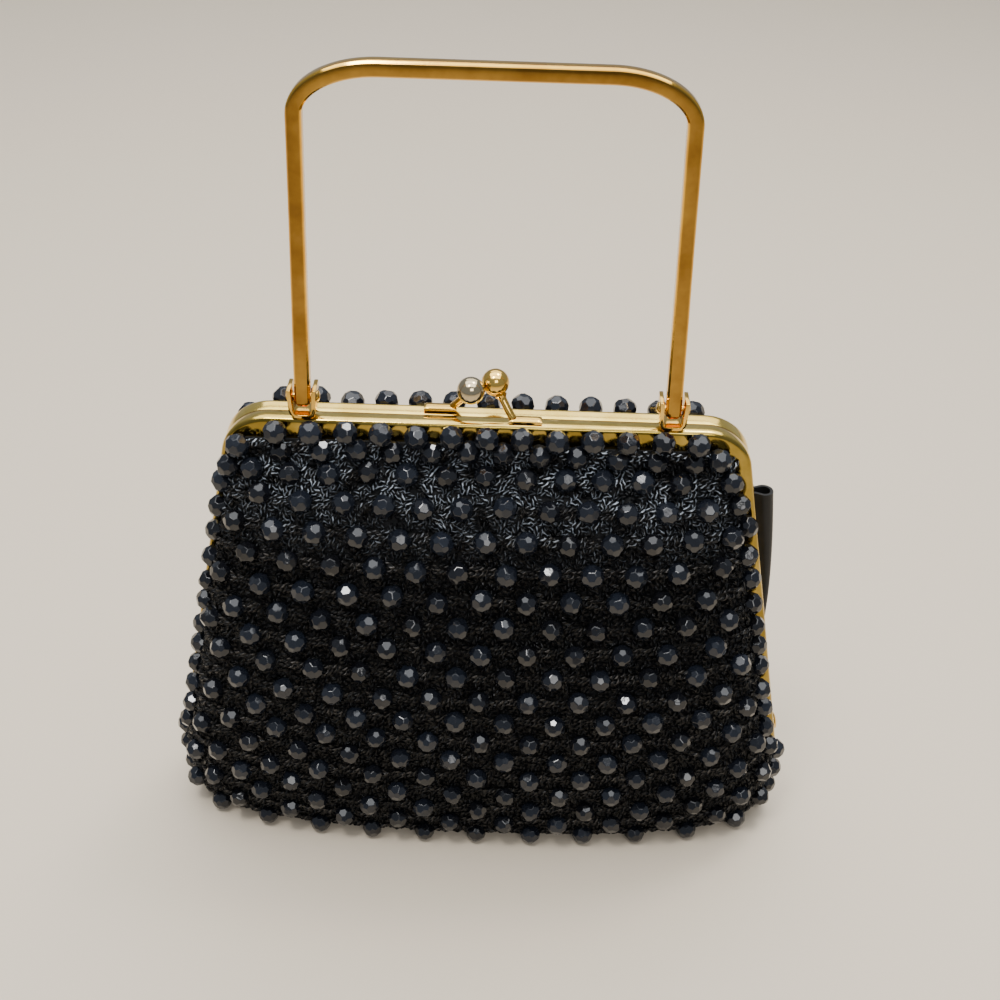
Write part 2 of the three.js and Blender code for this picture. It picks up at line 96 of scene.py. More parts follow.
class Side(Labelled):
    """Which end of the frame, as the sign of its X."""

    LEFT = -1
    RIGHT = 1


class Slot(Enum):
    """Material slots of the record."""

    CROCHET = "crochet"
    FRAME = "frame_gold"
    GOLD = "gold"
    SATIN = "satin"
    BEADS = "beads"


# Small helpers


def ease(value: float, low: float, high: float) -> float:
    """Smooth step from 0 at low to 1 at high."""
    t = min(max((value - low) / (high - low), 0.0), 1.0)
    return t * t * (3.0 - 2.0 * t)


def angles(turn: float, steps: int) -> list[float]:
    """Even steps from 0 to an angle."""
    return [turn * i / steps for i in range(steps + 1)]


def table_at(place: float, table: Sequence[Span]) -> float:
    """Read a table of (place, value) rows with a smooth curve that never overshoots them.

    Args:
        place: Where to read.
        table: Rows in rising order of place.

    Returns:
        The value there, held flat outside the table.
    """
    xs, ys = zip(*table)
    if place <= xs[0]:
        return ys[0]
    if place >= xs[-1]:
        return ys[-1]
    i = max(k for k in range(len(xs) - 1) if xs[k] <= place)
    rise = [(ys[k + 1] - ys[k]) / (xs[k + 1] - xs[k]) for k in range(len(xs) - 1)]
    inner = [2.0 * a * b / (a + b) if a * b > 0 else 0.0 for a, b in zip(rise, rise[1:])]
    slopes = [rise[0], *inner, rise[-1]]
    step = xs[i + 1] - xs[i]
    t = (place - xs[i]) / step
    start = (1 + 2 * t) * (1 - t) ** 2 * ys[i] + t * (1 - t) ** 2 * step * slopes[i]
    return start + t * t * (3 - 2 * t) * ys[i + 1] + t * t * (t - 1) * step * slopes[i + 1]


def link(obj: bpy.types.Object) -> bpy.types.Object:
    """Put an object into the scene."""
    bpy.context.scene.collection.objects.link(obj)
    return obj


def shade(obj: bpy.types.Object, smooth_deg: float) -> None:
    """Shade edges flatter than an angle smooth, and keep the others sharp."""
    obj.data.shade_smooth()
    obj.data.set_sharp_from_angle(angle=math.radians(smooth_deg))


def mesh_object(
    name: str, points: Sequence[Vector], faces: Sequence[Sequence[int]], smooth_deg: float = 0.0
) -> bpy.types.Object:
    """Make a mesh object from points in millimetres.

    Args:
        name: Object name.
        points: Corners in millimetres.
        faces: Corner numbers of each face.
        smooth_deg: Edges flatter than this are shaded smooth; 0 leaves all faces flat.

    Returns:
        The object, linked to the scene, in metres.
    """
    mesh = bpy.data.meshes.new(name)
    mesh.from_pydata([tuple(p * MM) for p in points], [], [tuple(f) for f in faces])
    mesh.validate()
    obj = link(bpy.data.objects.new(name, mesh))
    if smooth_deg:
        shade(obj, smooth_deg)
    mesh.update()
    return obj


def bmesh_object(name: str, work: bmesh.types.BMesh) -> bpy.types.Object:
    """Turn a working mesh into an object.

    Args:
        name: Object name.
        work: Working mesh, which is freed.

    Returns:
        The object, linked to the scene.
    """
    mesh = bpy.data.meshes.new(name)
    work.to_mesh(mesh)
    work.free()
    return link(bpy.data.objects.new(name, mesh))


def bake_modifiers(obj: bpy.types.Object) -> bpy.types.Object:
    """Turn an object's modifiers into a plain mesh.

    Args:
        obj: Object with modifiers.

    Returns:
        The same object with the finished mesh and no modifiers.
    """
    graph = bpy.context.evaluated_depsgraph_get()
    mesh = bpy.data.meshes.new_from_object(
        obj.evaluated_get(graph), preserve_all_data_layers=True, depsgraph=graph
    )
    old = obj.data
    obj.modifiers.clear()
    obj.data = mesh
    mesh.name = obj.name
    bpy.data.meshes.remove(old)
    return obj


def circle(centre: Vector, side: Vector, other: Vector, radius: float, count: int) -> Ring:
    """Points round a centre, from the first direction towards the second."""
    turns = angles(FULL_TURN, count)[:-1]
    return [centre + (side * math.cos(a) + other * math.sin(a)) * radius for a in turns]


def ring_faces(rings: int, count: int, first: int = 0, capped: bool = False) -> Faces:
    """Four-sided faces between closed rings of points.

    Args:
        rings: How many rings there are.
        count: Points in each ring.
        first: Number of the first ring's first point.
        capped: Whether the two ends are closed by flat faces.

    Returns:
        Corner numbers of each face.
    """
    faces = []
    for k in range(rings - 1):
        for i in range(count):
            a, b = (first + k * count + j % count for j in (i, i + 1))
            faces.append([a, b, b + count, a + count])
    if capped:
        last = first + (rings - 1) * count
        faces.append(list(reversed(range(first, first + count))))
        faces.append(list(range(last, last + count)))
    return faces


def loft(rings: Sequence[Ring], capped: bool = True) -> tuple[Ring, Faces]:
    """Skin through closed rings with equal point counts.

    Args:
        rings: Rings of points, first to last.
        capped: Whether the two ends are closed by flat faces.

    Returns:
        Points and faces, with the faces pointing outwards.
    """
    points = [p for ring in rings for p in ring]
    faces = ring_faces(len(rings), len(rings[0]), capped=capped)
    volume = sum(
        points[f[0]].dot(points[f[i]].cross(points[f[i + 1]])) for f in faces for i in range(1, len(f) - 1)
    )
    return points, faces if volume > 0 else [f[::-1] for f in faces]


def tube_along(
    path: Sequence[Vector], radii: Sequence[float], sides: int, capped: bool = False
) -> tuple[Ring, Faces, list[Span]]:
    """Round tube along a path.

    Args:
        path: Points of the middle line.
        radii: Radius at each point.
        sides: Corners of each ring.
        capped: Whether the two ends are closed by flat faces.

    Returns:
        Points, faces, and the place along and around the tube for each corner of the faces at its side.
    """
    points, places = [], []
    side = AXIS_Z
    last = len(path) - 1
    for i, centre in enumerate(path):
        ahead = (path[min(i + 1, last)] - path[max(i - 1, 0)]).normalized()
        side = (side - ahead * side.dot(ahead)).normalized()
        points += circle(centre, side, ahead.cross(side), radii[i], sides)
    for i in range(last):
        for k in range(sides):
            low, high, near, far = i / last, (i + 1) / last, k / sides, (k + 1) / sides
            places += [(low, near), (low, far), (high, far), (high, near)]
    return points, ring_faces(len(path), sides, capped=capped), places


def dress(obj: bpy.types.Object, finish: Finish) -> bpy.types.Object:
    """Give an object one finish.

    Args:
        obj: Mesh object.
        finish: Finish of all its faces.

    Returns:
        The same object.
    """
    obj.data.materials.clear()
    obj.data.materials.append(finish.material())
    return obj


def join_meshes(name: str, parts: Sequence[bpy.types.Object]) -> bpy.types.Object:
    """Join mesh objects into one.

    Args:
        name: Name of the joined object.
        parts: Objects at the origin, which are removed.

    Returns:
        The joined object.
    """
    joined = bmesh.new()
    for part in parts:
        joined.from_mesh(part.data)
        bpy.data.meshes.remove(part.data)
    return bmesh_object(name, joined)


def settle(obj: bpy.types.Object, slot: Slot, body: str, *nodes: str) -> bpy.types.Object:
    """Tie a finished piece to its body and hide the solids that it stands for.

    Args:
        obj: Finished piece.
        slot: Material slot of the record; not used.
        body: Body that it moves with.
        nodes: CAD nodes that it replaces.

    Returns:
        The piece.
    """
    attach(obj, body)
    if nodes:
        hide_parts(*nodes)
    obj.data.calc_loop_triangles()
    LOG.info("%s: %d triangles", obj.name, len(obj.data.loop_triangles))
    return obj


# Shaders


class Signal:
    """A shader socket that can stand in sums and products."""

    def __init__(self, tree: ShaderTree, socket: bpy.types.NodeSocket) -> None:
        """Keep the socket and the tree that it is in."""
        self.tree = tree
        self.socket = socket

    def _math(self, operation: str, *values: Signal | float) -> Signal:
        """Add a Math node over the values."""
        node = self.tree.node("ShaderNodeMath", {"operation": operation}, dict(enumerate(values)))
        return Signal(self.tree, node.outputs[0])

    def __add__(self, other: Signal | float) -> Signal:
        """Sum."""
        return self._math("ADD", self, other)

    __radd__ = __add__

    def __rsub__(self, other: Signal | float) -> Signal:
        """Difference from a number."""
        return self._math("SUBTRACT", other, self)

    def __mul__(self, other: Signal | float) -> Signal:
        """Product."""
        return self._math("MULTIPLY", self, other)

    __rmul__ = __mul__

    def larger(self, other: Signal | float) -> Signal:
        """The larger of two values."""
        return self._math("MAXIMUM", self, other)

    def sine(self) -> Signal:
        """Sine of the value in radians."""
        return self._math("SINE", self)

    def between(self, start: float, end: float) -> Signal:
        """Straight line from start where the value is 0 to end where it is 1."""
        return self * (end - start) + start

    def smooth(self, low: float, high: float) -> Signal:
        """Smooth step.

        Args:
            low: Where it leaves 0.
            high: Where it comes to 1.

        Returns:
            The stepped value.
        """
        span = {"Value": self, "From Min": low, "From Max": high}
        node = self.tree.node("ShaderNodeMapRange", {"interpolation_type": "SMOOTHSTEP"}, span)
        return Signal(self.tree, node.outputs["Result"])


class ShaderTree:
    """A material with one Principled shader and the nodes that feed it."""

    def __init__(self, name: str) -> None:
        """Start an empty material.

        Args:
            name: The material's name.
        """
        self.material = bpy.data.materials.new(name)
        self.material.use_nodes = True
        self.tree = self.material.node_tree
        self.tree.nodes.clear()
        self.shader = self.node("ShaderNodeBsdfPrincipled")
        self.node("ShaderNodeOutputMaterial", inputs={"Surface": Signal(self, self.shader.outputs[0])})

    def node(
        self, kind: str, settings: Values | None = None, inputs: Values | None = None
    ) -> bpy.types.Node:
        """Add a node.

        Args:
            kind: Blender's node type.
            settings: Node properties.
            inputs: Values or signals by socket name or number.

        Returns:
            The node.
        """
        node = self.tree.nodes.new(kind)
        for key, value in (settings or {}).items():
            setattr(node, key, value)
        for key, value in (inputs or {}).items():
            self._set(node.inputs[key], value)
        return node

    def _set(self, socket: bpy.types.NodeSocket, value: object) -> None:
        """Link a signal to a socket, or store a constant there.

        Args:
            socket: Input of a node.
            value: A signal, a number or a tuple; a colour gets its fourth part.
        """
        if isinstance(value, Signal):
            self.tree.links.new(value.socket, socket)
        elif socket.type == "RGBA":
            socket.default_value = (*value, 1.0)
        else:
            socket.default_value = value

    def feed(self, **values: object) -> None:
        """Set or link the shader's sockets, with _ for a space in their names."""
        for key, value in values.items():
            self._set(self.shader.inputs[key.replace("_", " ")], value)

    def place(self, output: str = "Object") -> Signal:
        """Texture coordinates."""
        return Signal(self, self.node("ShaderNodeTexCoord").outputs[output])

    def stretched(self, place: Signal, scale: Colour) -> Signal:
        """Coordinates scaled along each axis."""
        node = self.node("ShaderNodeMapping", inputs={"Vector": place, "Scale": scale})
        return Signal(self, node.outputs[0])

    def parts(self, place: Signal) -> list[Signal]:
        """The three parts of a vector."""
        node = self.node("ShaderNodeSeparateXYZ", inputs={0: place})
        return [Signal(self, output) for output in node.outputs]

    def noise(self, place: Signal, scale: float, detail: float = 3.0, rough: float = 0.55) -> Signal:
        """Soft noise from 0 to 1."""
        inputs = {"Vector": place, "Scale": scale, "Detail": detail, "Roughness": rough}
        return Signal(self, self.node("ShaderNodeTexNoise", inputs=inputs).outputs[0])

    def cells(self, place: Signal, scale: float) -> Signal:
        """Distance to the nearest of scattered cell centres."""
        node = self.node("ShaderNodeTexVoronoi", inputs={"Vector": place, "Scale": scale})
        return Signal(self, node.outputs["Distance"])

    def attribute(self, name: str) -> Signal:
        """A number stored on the mesh."""
        return Signal(self, self.node("ShaderNodeAttribute", {"attribute_name": name}).outputs["Fac"])

    def mix(self, factor: Signal, low: Signal | Colour, high: Signal | Colour) -> Signal:
        """Colour between two colours; the Mix node's colour sockets are numbers 6, 7 and 2."""
        node = self.node("ShaderNodeMix", {"data_type": "RGBA"}, {0: factor, 6: low, 7: high})
        return Signal(self, node.outputs[2])

    def bump(self, height: Signal, strength: float, distance: float) -> Signal:
        """Normal of a surface raised by a height."""
        inputs = {"Height": height, "Strength": strength, "Distance": distance}
        return Signal(self, self.node("ShaderNodeBump", inputs=inputs).outputs[0])


@dataclass(frozen=True)
class Finish:
    """A finish that can be made into a material."""

    name: str

    def paint(self, tree: ShaderTree) -> None:
        """Set the shader's inputs; each kind of finish has its own way."""
        raise NotImplementedError

    def material(self) -> bpy.types.Material:
        """Build the material.

        Returns:
            A new material.
        """
        tree = ShaderTree(self.name)
        self.paint(tree)
        return tree.material


@dataclass(frozen=True)
class AgedGold(Finish):
    """Gold-coloured plating with dull clouds, brown tarnish and fine rubbing marks.

    Painted shade darkens faces far from the middle plane, beyond the distances given in metres, to the dark
    brown colour. Above the height that rubbed gives, the plating is worn down to the bare metal. Neither
    happens at the values set here.
    """

    bright: Colour
    dull: Colour
    # Colour of brown tarnish stains and of painted shade
    tarnish: Colour
    shine: Span
    cloud_scale: float = 55.0
    cloud_level: Span = (0.35, 0.7)
    stain_scale: float = 126.5
    stain_level: Span = (0.66, 0.84)
    stain_share: float = 0.8
    rub_stretch: Colour = (60.0, 900.0, 900.0)
    speck_scale: float = 1800.0
    dulling: Colour = (0.5, 0.35, 0.5)
    relief: Span = (0.6, 0.4)
    bump: Span = (0.06, 0.0003)
    # Distances from the middle plane, in metres, over which painted shade sets in
    deep: Span = (1.0, 2.0)
    deep_share: Span = (0.5, 1.1)
    bare: Colour = (0.44, 0.38, 0.26)
    rubbed: Span = (1.0, 2.0)
    rubbed_share: Span = (0.6, 1.2)

    def paint(self, tree: ShaderTree) -> None:
        """Set the shader's inputs.

        Args:
            tree: The material's tree.
        """
        place = tree.place()
        cloud = tree.noise(place, self.cloud_scale, detail=4.0, rough=0.6)
        stain = tree.noise(place, self.stain_scale, detail=6.0, rough=0.65).smooth(*self.stain_level)
        rub = tree.noise(tree.stretched(place, self.rub_stretch), 1.0, detail=2.0)
        speck = tree.noise(place, self.speck_scale, detail=2.0)
        _, depth, height = tree.parts(place)
        # Painted shade: faces far from the middle plane, such as the handle's front face and the frame's
        # flanges, are darkened
        painted_face_shade = depth.larger(depth * -1.0).smooth(*self.deep) * cloud.between(*self.deep_share)
        plain = tree.mix(cloud.smooth(*self.cloud_level), self.bright, self.dull)
        plated = tree.mix((stain * self.stain_share).larger(painted_face_shade), plain, self.tarnish)
        worn = height.smooth(*self.rubbed) * cloud.between(*self.rubbed_share)
        by_cloud, by_rub, by_stain = self.dulling
        tree.feed(
            Base_Color=tree.mix(worn, plated, self.bare),
            Roughness=(by_cloud * cloud + by_rub * rub + by_stain * stain).between(*self.shine),
            Normal=tree.bump(self.relief[0] * rub + self.relief[1] * speck, *self.bump),
            Metallic=1.0,
        )


@dataclass(frozen=True)
class JetBead(Finish):
    """Glossy black moulded bead with slightly uneven facets and softened edges."""

    black: Colour
    blue: Colour
    shine: Span
    edge: Span = (0.86, 1.02)
    short_side: float = 1.16
    dust_scale: float = 1400.0
    dust_level: Span = (0.58, 0.8)
    dulling: Span = (0.7, 0.5)
    ripple_scale: float = 420.0
    ripple: float = 0.3
    bump: Span = (0.35, 0.0003)
    ior: float = 1.49

    def _edge_reach(self, tree: ShaderTree) -> Signal:
        """Share of the way from a six-sided facet's middle to its nearest edge.

        Args:
            tree: The material's tree.

        Returns:
            0 in the middle and 1 at an edge.
        """
        across, up, _ = tree.parts(tree.place("UV"))
        reach = None
        for k, angle in enumerate(angles(FULL_TURN, FACET_SIDES)[:-1]):
            far = self.short_side if k % 2 else 1.0
            side = across * (math.cos(angle) / far) + up * (math.sin(angle) / far)
            reach = reach.larger(side) if reach else side
        return reach

    def paint(self, tree: ShaderTree) -> None:
        """Set the shader's inputs.

        Args:
            tree: The material's tree.
        """
        place = tree.place()
        tone = tree.attribute("tone")
        dust = tree.noise(place, self.dust_scale).smooth(*self.dust_level)
        worn_edge = 1.0 - self._edge_reach(tree).smooth(*self.edge)
        ripple = tree.noise(place, self.ripple_scale, detail=2.0)
        tree.feed(
            Base_Color=tree.mix(tone, self.black, self.blue),
            Roughness=(self.dulling[0] * tone + self.dulling[1] * dust).between(*self.shine),
            Normal=tree.bump(worn_edge + self.ripple * ripple, *self.bump),
            IOR=self.ior,
        )


@dataclass(frozen=True)
class TwistedYarn(Finish):
    """Shiny black yarn whose plies wind round it, with painted light in patches near the frame."""

    shade: Colour
    ply: Colour
    # Paler colour of the chain stitches' lit ridges, which paints their glints
    chain: Colour
    # Pale colour of the painted light on the ply ridges near the frame
    faded: Colour
    shine: Span
    winds: float = 2.2
    plies: float = 2.0
    # Heights in metres over which the painted light near the frame sets in
    fade: Span = (0.138, 0.182)
    patch_scale: float = 170.0
    patch_level: Span = (0.36, 0.6)
    fibre_scale: float = 2600.0
    relief: Span = (0.8, 0.35)
    lit_level: Span = (0.6, 1.05)
    lit_share: Span = (0.35, 1.0)
    gloss: Span = (0.6, 0.4)
    bump: Span = (1.0, 0.0008)
    ior: float = 1.33

    def paint(self, tree: ShaderTree) -> None:
        """Set the shader's inputs.

        Args:
            tree: The material's tree.
        """
        along, around, _ = tree.parts(tree.place("UV"))
        tone = tree.attribute("tone")
        wave = ((along * self.winds + around * self.plies) * FULL_TURN).sine() * 0.5 + 0.5
        place = tree.place()
        patch = tree.noise(place, self.patch_scale, detail=1.0).smooth(*self.patch_level)
        # Painted light: near the frame the yarn is lightened in patches, as if lit from above
        fade = tree.parts(place)[2].smooth(*self.fade) * patch
        ridge = wave * self.relief[0] + tree.noise(place, self.fibre_scale) * self.relief[1]
        lit = ridge.smooth(*self.lit_level) * tone.between(*self.lit_share)
        # Painted glints: lit ply ridges take the strand colour, paler and brown-grey on the chain stitches
        strand = tree.mix(tree.attribute("chain"), self.ply, self.chain)
        glossy, matt = self.shine
        tree.feed(
            Base_Color=tree.mix(lit, self.shade, tree.mix(fade, strand, self.faded)),
            Roughness=(self.gloss[0] * wave + self.gloss[1] * tone).between(matt, glossy),
            Normal=tree.bump(ridge, *self.bump),
            IOR=self.ior,
        )


@dataclass(frozen=True)
class CrochetGround(Finish):
    """Matted black crochet behind the top stitches."""

    shade: Colour
    ply: Colour
    loop_scale: float = 330.0
    loop_stretch: Colour = (1.0, 1.0, 1.35)
    fibre_scale: float = 2100.0
    relief: Span = (0.8, 0.4)
    lit_level: Span = (0.5, 1.1)
    rough: Span = (0.8, 0.55)
    bump: Span = (1.0, 0.0012)

    def paint(self, tree: ShaderTree) -> None:
        """Set the shader's inputs.

        Args:
            tree: The material's tree.
        """
        place = tree.place()
        loops = tree.cells(tree.stretched(place, self.loop_stretch), self.loop_scale)
        fibre = tree.noise(place, self.fibre_scale, detail=4.0, rough=0.6)
        height = (1.0 - loops) * self.relief[0] + fibre * self.relief[1]
        tree.feed(
            Base_Color=tree.mix(height.smooth(*self.lit_level), self.shade, self.ply),
            Roughness=fibre.between(*self.rough),
            Normal=tree.bump(height, *self.bump),
        )


@dataclass(frozen=True)
class DullSatin(Finish):
    """Black satin with a fine weave and a soft sheen."""

    shade: Colour
    worn: Colour
    cloud_scale: float = 120.0
    cloud_level: Span = (0.35, 0.75)
    rough: Span = (0.42, 0.58)
    bump: Span = (0.15, 0.0001)
    ior: float = 1.32
    sheen: Span = (0.04, 0.35)

    def paint(self, tree: ShaderTree) -> None:
        """Set the shader's inputs.

        Args:
            tree: The material's tree.
        """
        across, along, _ = tree.parts(tree.place("UV"))
        weave = (across * FULL_TURN).sine() * (along * FULL_TURN).sine()
        cloud = tree.noise(tree.place(), self.cloud_scale, detail=4.0)
        tree.feed(
            Base_Color=tree.mix(cloud.smooth(*self.cloud_level), self.shade, self.worn),
            Roughness=cloud.between(*self.rough),
            Normal=tree.bump(weave, *self.bump),
            IOR=self.ior,
            Sheen_Weight=self.sheen[0],
            Sheen_Roughness=self.sheen[1],
        )


@dataclass(frozen=True)
class PaleFloor(Finish):
    """Plain pale floor with a faint warmer grain."""

    colour: Colour
    grain_scale: float = 9.0
    grain_tint: Colour = (1.0, 0.985, 0.96)
    rough: float = 0.6

    def paint(self, tree: ShaderTree) -> None:
        """Set the shader's inputs.

        Args:
            tree: The material's tree.
        """
        grain = tree.noise(tree.place(), self.grain_scale, detail=4.0)
        warmer = tuple(c * tint for c, tint in zip(self.colour, self.grain_tint))
        tree.feed(Base_Color=tree.mix(grain, self.colour, warmer), Roughness=self.rough)


# Small shapes set many times by Geometry Nodes


@dataclass
class Scatter:
    """A tree that sets one small shape on points, each turned to its own place on the surface."""

    name: str
    seed: int
    turn_deg: tuple[float, float, float] = (0.0, 0.0, 0.0)
    scale: Span = (1.0, 1.0)
    sockets: dict[str, str] = field(default_factory=dict)

    def _tree(self) -> bpy.types.NodeTree:
        """Build the node tree and note its inputs' identifiers.

        Returns:
            The tree.
        """
        tree = bpy.data.node_groups.new(self.name, "GeometryNodeTree")
        ports = {
            "Geometry": "Geometry", "Shape": "Object", "Finish": "Material", "Turn": "Vector",
            "Smallest": "Float", "Largest": "Float", "Seed": "Int",
        }
        for port, kind in ports.items():
            item = tree.interface.new_socket(name=port, in_out="INPUT", socket_type=f"NodeSocket{kind}")
            self.sockets[port] = item.identifier
        tree.interface.new_socket(name="Geometry", in_out="OUTPUT", socket_type="NodeSocketGeometry")

        def add(
            kind: str, settings: Values | None = None, output: str = "", **links: object
        ) -> bpy.types.NodeSocket | None:
            """Add a node.

            Args:
                kind: Blender's node type.
                settings: Node properties.
                output: Name of the output that is wanted, or nothing for the first live one.
                links: Values or outputs of other nodes by input name, with _ for a space.

            Returns:
                The output, or None from a node without one.
            """
            node = tree.nodes.new(kind)
            for key, value in (settings or {}).items():
                setattr(node, key, value)
            for key, value in links.items():
                socket = next(s for s in node.inputs if s.name == key.replace("_", " ") and s.enabled)
                if isinstance(value, bpy.types.NodeSocket):
                    tree.links.new(value, socket)
                else:
                    socket.default_value = value
            return next((s for s in node.outputs if s.enabled and output in ("", s.name)), None)

        given = tree.nodes.new("NodeGroupInput").outputs
        turn, seed = given["Turn"], given["Seed"]
        vector, number = {"data_type": "FLOAT_VECTOR"}, {"data_type": "FLOAT"}
        facing = add("GeometryNodeInputNamedAttribute", vector, Name="facing")
        along = add("GeometryNodeInputNamedAttribute", vector, Name="along")
        axes = {"primary_axis": "Z", "secondary_axis": "X"}
        lie = add("FunctionNodeAxesToRotation", axes, Primary_Axis=facing, Secondary_Axis=along)
        back = add("ShaderNodeVectorMath", {"operation": "SCALE"}, Vector=turn, Scale=-1.0)
        euler = add("FunctionNodeRandomValue", vector, Min=back, Max=turn, Seed=seed)
        twist = add("FunctionNodeEulerToRotation", Euler=euler)
        own = {"rotation_space": "LOCAL"}
        turned = add("FunctionNodeRotateRotation", own, Rotation=lie, Rotate_By=twist)
        size = add("FunctionNodeRandomValue", number, Min=given["Smallest"], Max=given["Largest"], Seed=seed)
        shape = add("GeometryNodeObjectInfo", output="Geometry", Object=given["Shape"])
        laid = add(
            "GeometryNodeInstanceOnPoints",
            Points=given["Geometry"], Instance=shape, Rotation=turned, Scale=size,
        )
        tone = add("FunctionNodeRandomValue", number, Seed=seed)
        each = {**number, "domain": "INSTANCE"}
        kept = add("GeometryNodeStoreNamedAttribute", each, Geometry=laid, Name="tone", Value=tone)
        whole = add("GeometryNodeRealizeInstances", Geometry=kept)
        dressed = add("GeometryNodeSetMaterial", Geometry=whole, Material=given["Finish"])
        add("NodeGroupOutput", Geometry=dressed)
        return tree

    def lay(
        self, places: np.ndarray, facing: np.ndarray, along: np.ndarray,
        shape: bpy.types.Object, finish: Finish, chain: np.ndarray | None = None,
    ) -> bpy.types.Object:
        """Set the shape on every place.

        Args:
            places: Points in millimetres, one a row.
            facing: Direction that the shape's Z takes at each point.
            along: Direction that the shape's X takes at each point.
            shape: The small shape, which is removed afterwards.
            finish: Finish of the result.
            chain: How far each shape belongs to a chain between beads, from 0 to 1.

        Returns:
            One plain mesh object.
        """
        mesh = bpy.data.meshes.new(self.name)
        mesh.from_pydata([tuple(p) for p in places * MM], [], [])
        if chain is not None:
            layer = mesh.attributes.new("chain", "FLOAT", "POINT")
            layer.data.foreach_set("value", np.asarray(chain, np.float32))
        for key, values in (("facing", facing), ("along", along)):
            layer = mesh.attributes.new(key, "FLOAT_VECTOR", "POINT")
            layer.data.foreach_set("vector", np.asarray(values, np.float32).ravel())
        obj = link(bpy.data.objects.new(self.name, mesh))
        modifier = obj.modifiers.new("scatter", "NODES")
        modifier.node_group = self._tree()
        values = {
            "Shape": shape,
            "Finish": finish.material(),
            "Turn": [math.radians(angle) for angle in self.turn_deg],
            "Smallest": self.scale[0],
            "Largest": self.scale[1],
            "Seed": self.seed,
        }
        for port, value in values.items():
            modifier[self.sockets[port]] = value
        bake_modifiers(obj)
        for key in ("facing", "along"):
            obj.data.attributes.remove(obj.data.attributes[key])
        bpy.data.meshes.remove(shape.data)
        return obj


# The purse's forms


@dataclass(frozen=True)
class ArchForm:
    """Two flared legs and a top bar with round or oval corners, in millimetres."""

    top: float
    half_width: float
    flare_deg: float
    across: float
    rise: float
    leg_end: float

    @property
    def flare(self) -> float:
        """Slope of the legs in radians."""
        return math.radians(self.flare_deg)

    @property
    def corner_start(self) -> float:
        """Angle on the corner's ellipse where it meets the leg."""
        return math.atan(self.rise / self.across * math.tan(self.flare))

    @property
    def corner_x(self) -> float:
        """Distance from the middle to the corner ellipse's centre."""
        down = self.rise * (1.0 - math.sin(self.corner_start))
        return self.half_width + down * math.tan(self.flare) - self.across * math.cos(self.corner_start)

    @property
    def leg_length(self) -> float:
        """Length of a leg from its end to the sharp corner."""
        return (self.top - self.leg_end) / math.cos(self.flare)

    def leg_x(self, z: float) -> float:
        """Half width at the outer face of a straight leg."""
        return self.half_width + (self.top - z) * math.tan(self.flare)

    def leg_out(self, side: Side) -> Vector:
        """Direction out of a leg's outer face."""
        return Vector((side.value * math.cos(self.flare), 0.0, math.sin(self.flare)))

    def inside_width(self, z: float, inset: float) -> float:
        """Half width inside the arch.

        Args:
            z: Height.
            inset: Distance inside the outer face.

        Returns:
            Half width there.
        """
        centre = self.top - self.rise
        if z < centre + self.rise * math.sin(self.corner_start):
            return self.leg_x(z) - inset / math.cos(self.flare)
        up = (z - centre) / (self.rise - inset)
        return self.corner_x + (self.across - inset) * math.sqrt(max(1.0 - up * up, 0.0))

    def stations(self, ups: Sequence[float], steps: int) -> list[tuple[Vector, Vector, float]]:
        """Places round the arch.

        Args:
            ups: Distances up each leg that get a place of their own.
            steps: Steps round each corner.

        Returns:
            Place, outward direction and distance up the leg, from the left end to the right end.
        """
        right = []
        for up in ups:
            down = self.leg_length - up
            x, z = self.half_width + down * math.sin(self.flare), self.top - down * math.cos(self.flare)
            right.append((Vector((x, 0.0, z)), self.leg_out(Side.RIGHT), up))
        centre = Vector((self.corner_x, 0.0, self.top - self.rise))
        start = self.corner_start
        for turn in angles(QUARTER_TURN - start, steps):
            angle = start + turn
            place = centre + Vector((self.across * math.cos(angle), 0.0, self.rise * math.sin(angle)))
            out = Vector((math.cos(angle) / self.across, 0.0, math.sin(angle) / self.rise)).normalized()
            right.append((place, out, self.leg_length))
        left = [(Vector((-p.x, 0.0, p.z)), Vector((-o.x, 0.0, o.z)), up) for p, o, up in right]
        return left + right[::-1]


FRAME_ARCH = ArchForm(top=188.5, half_width=87.1, flare_deg=12.2, across=17.0, rise=17.0, leg_end=40.0)
HANDLE_ARCH = ArchForm(top=304.5, half_width=56.8, flare_deg=2.4, across=24.5, rise=14.0, leg_end=192.4)


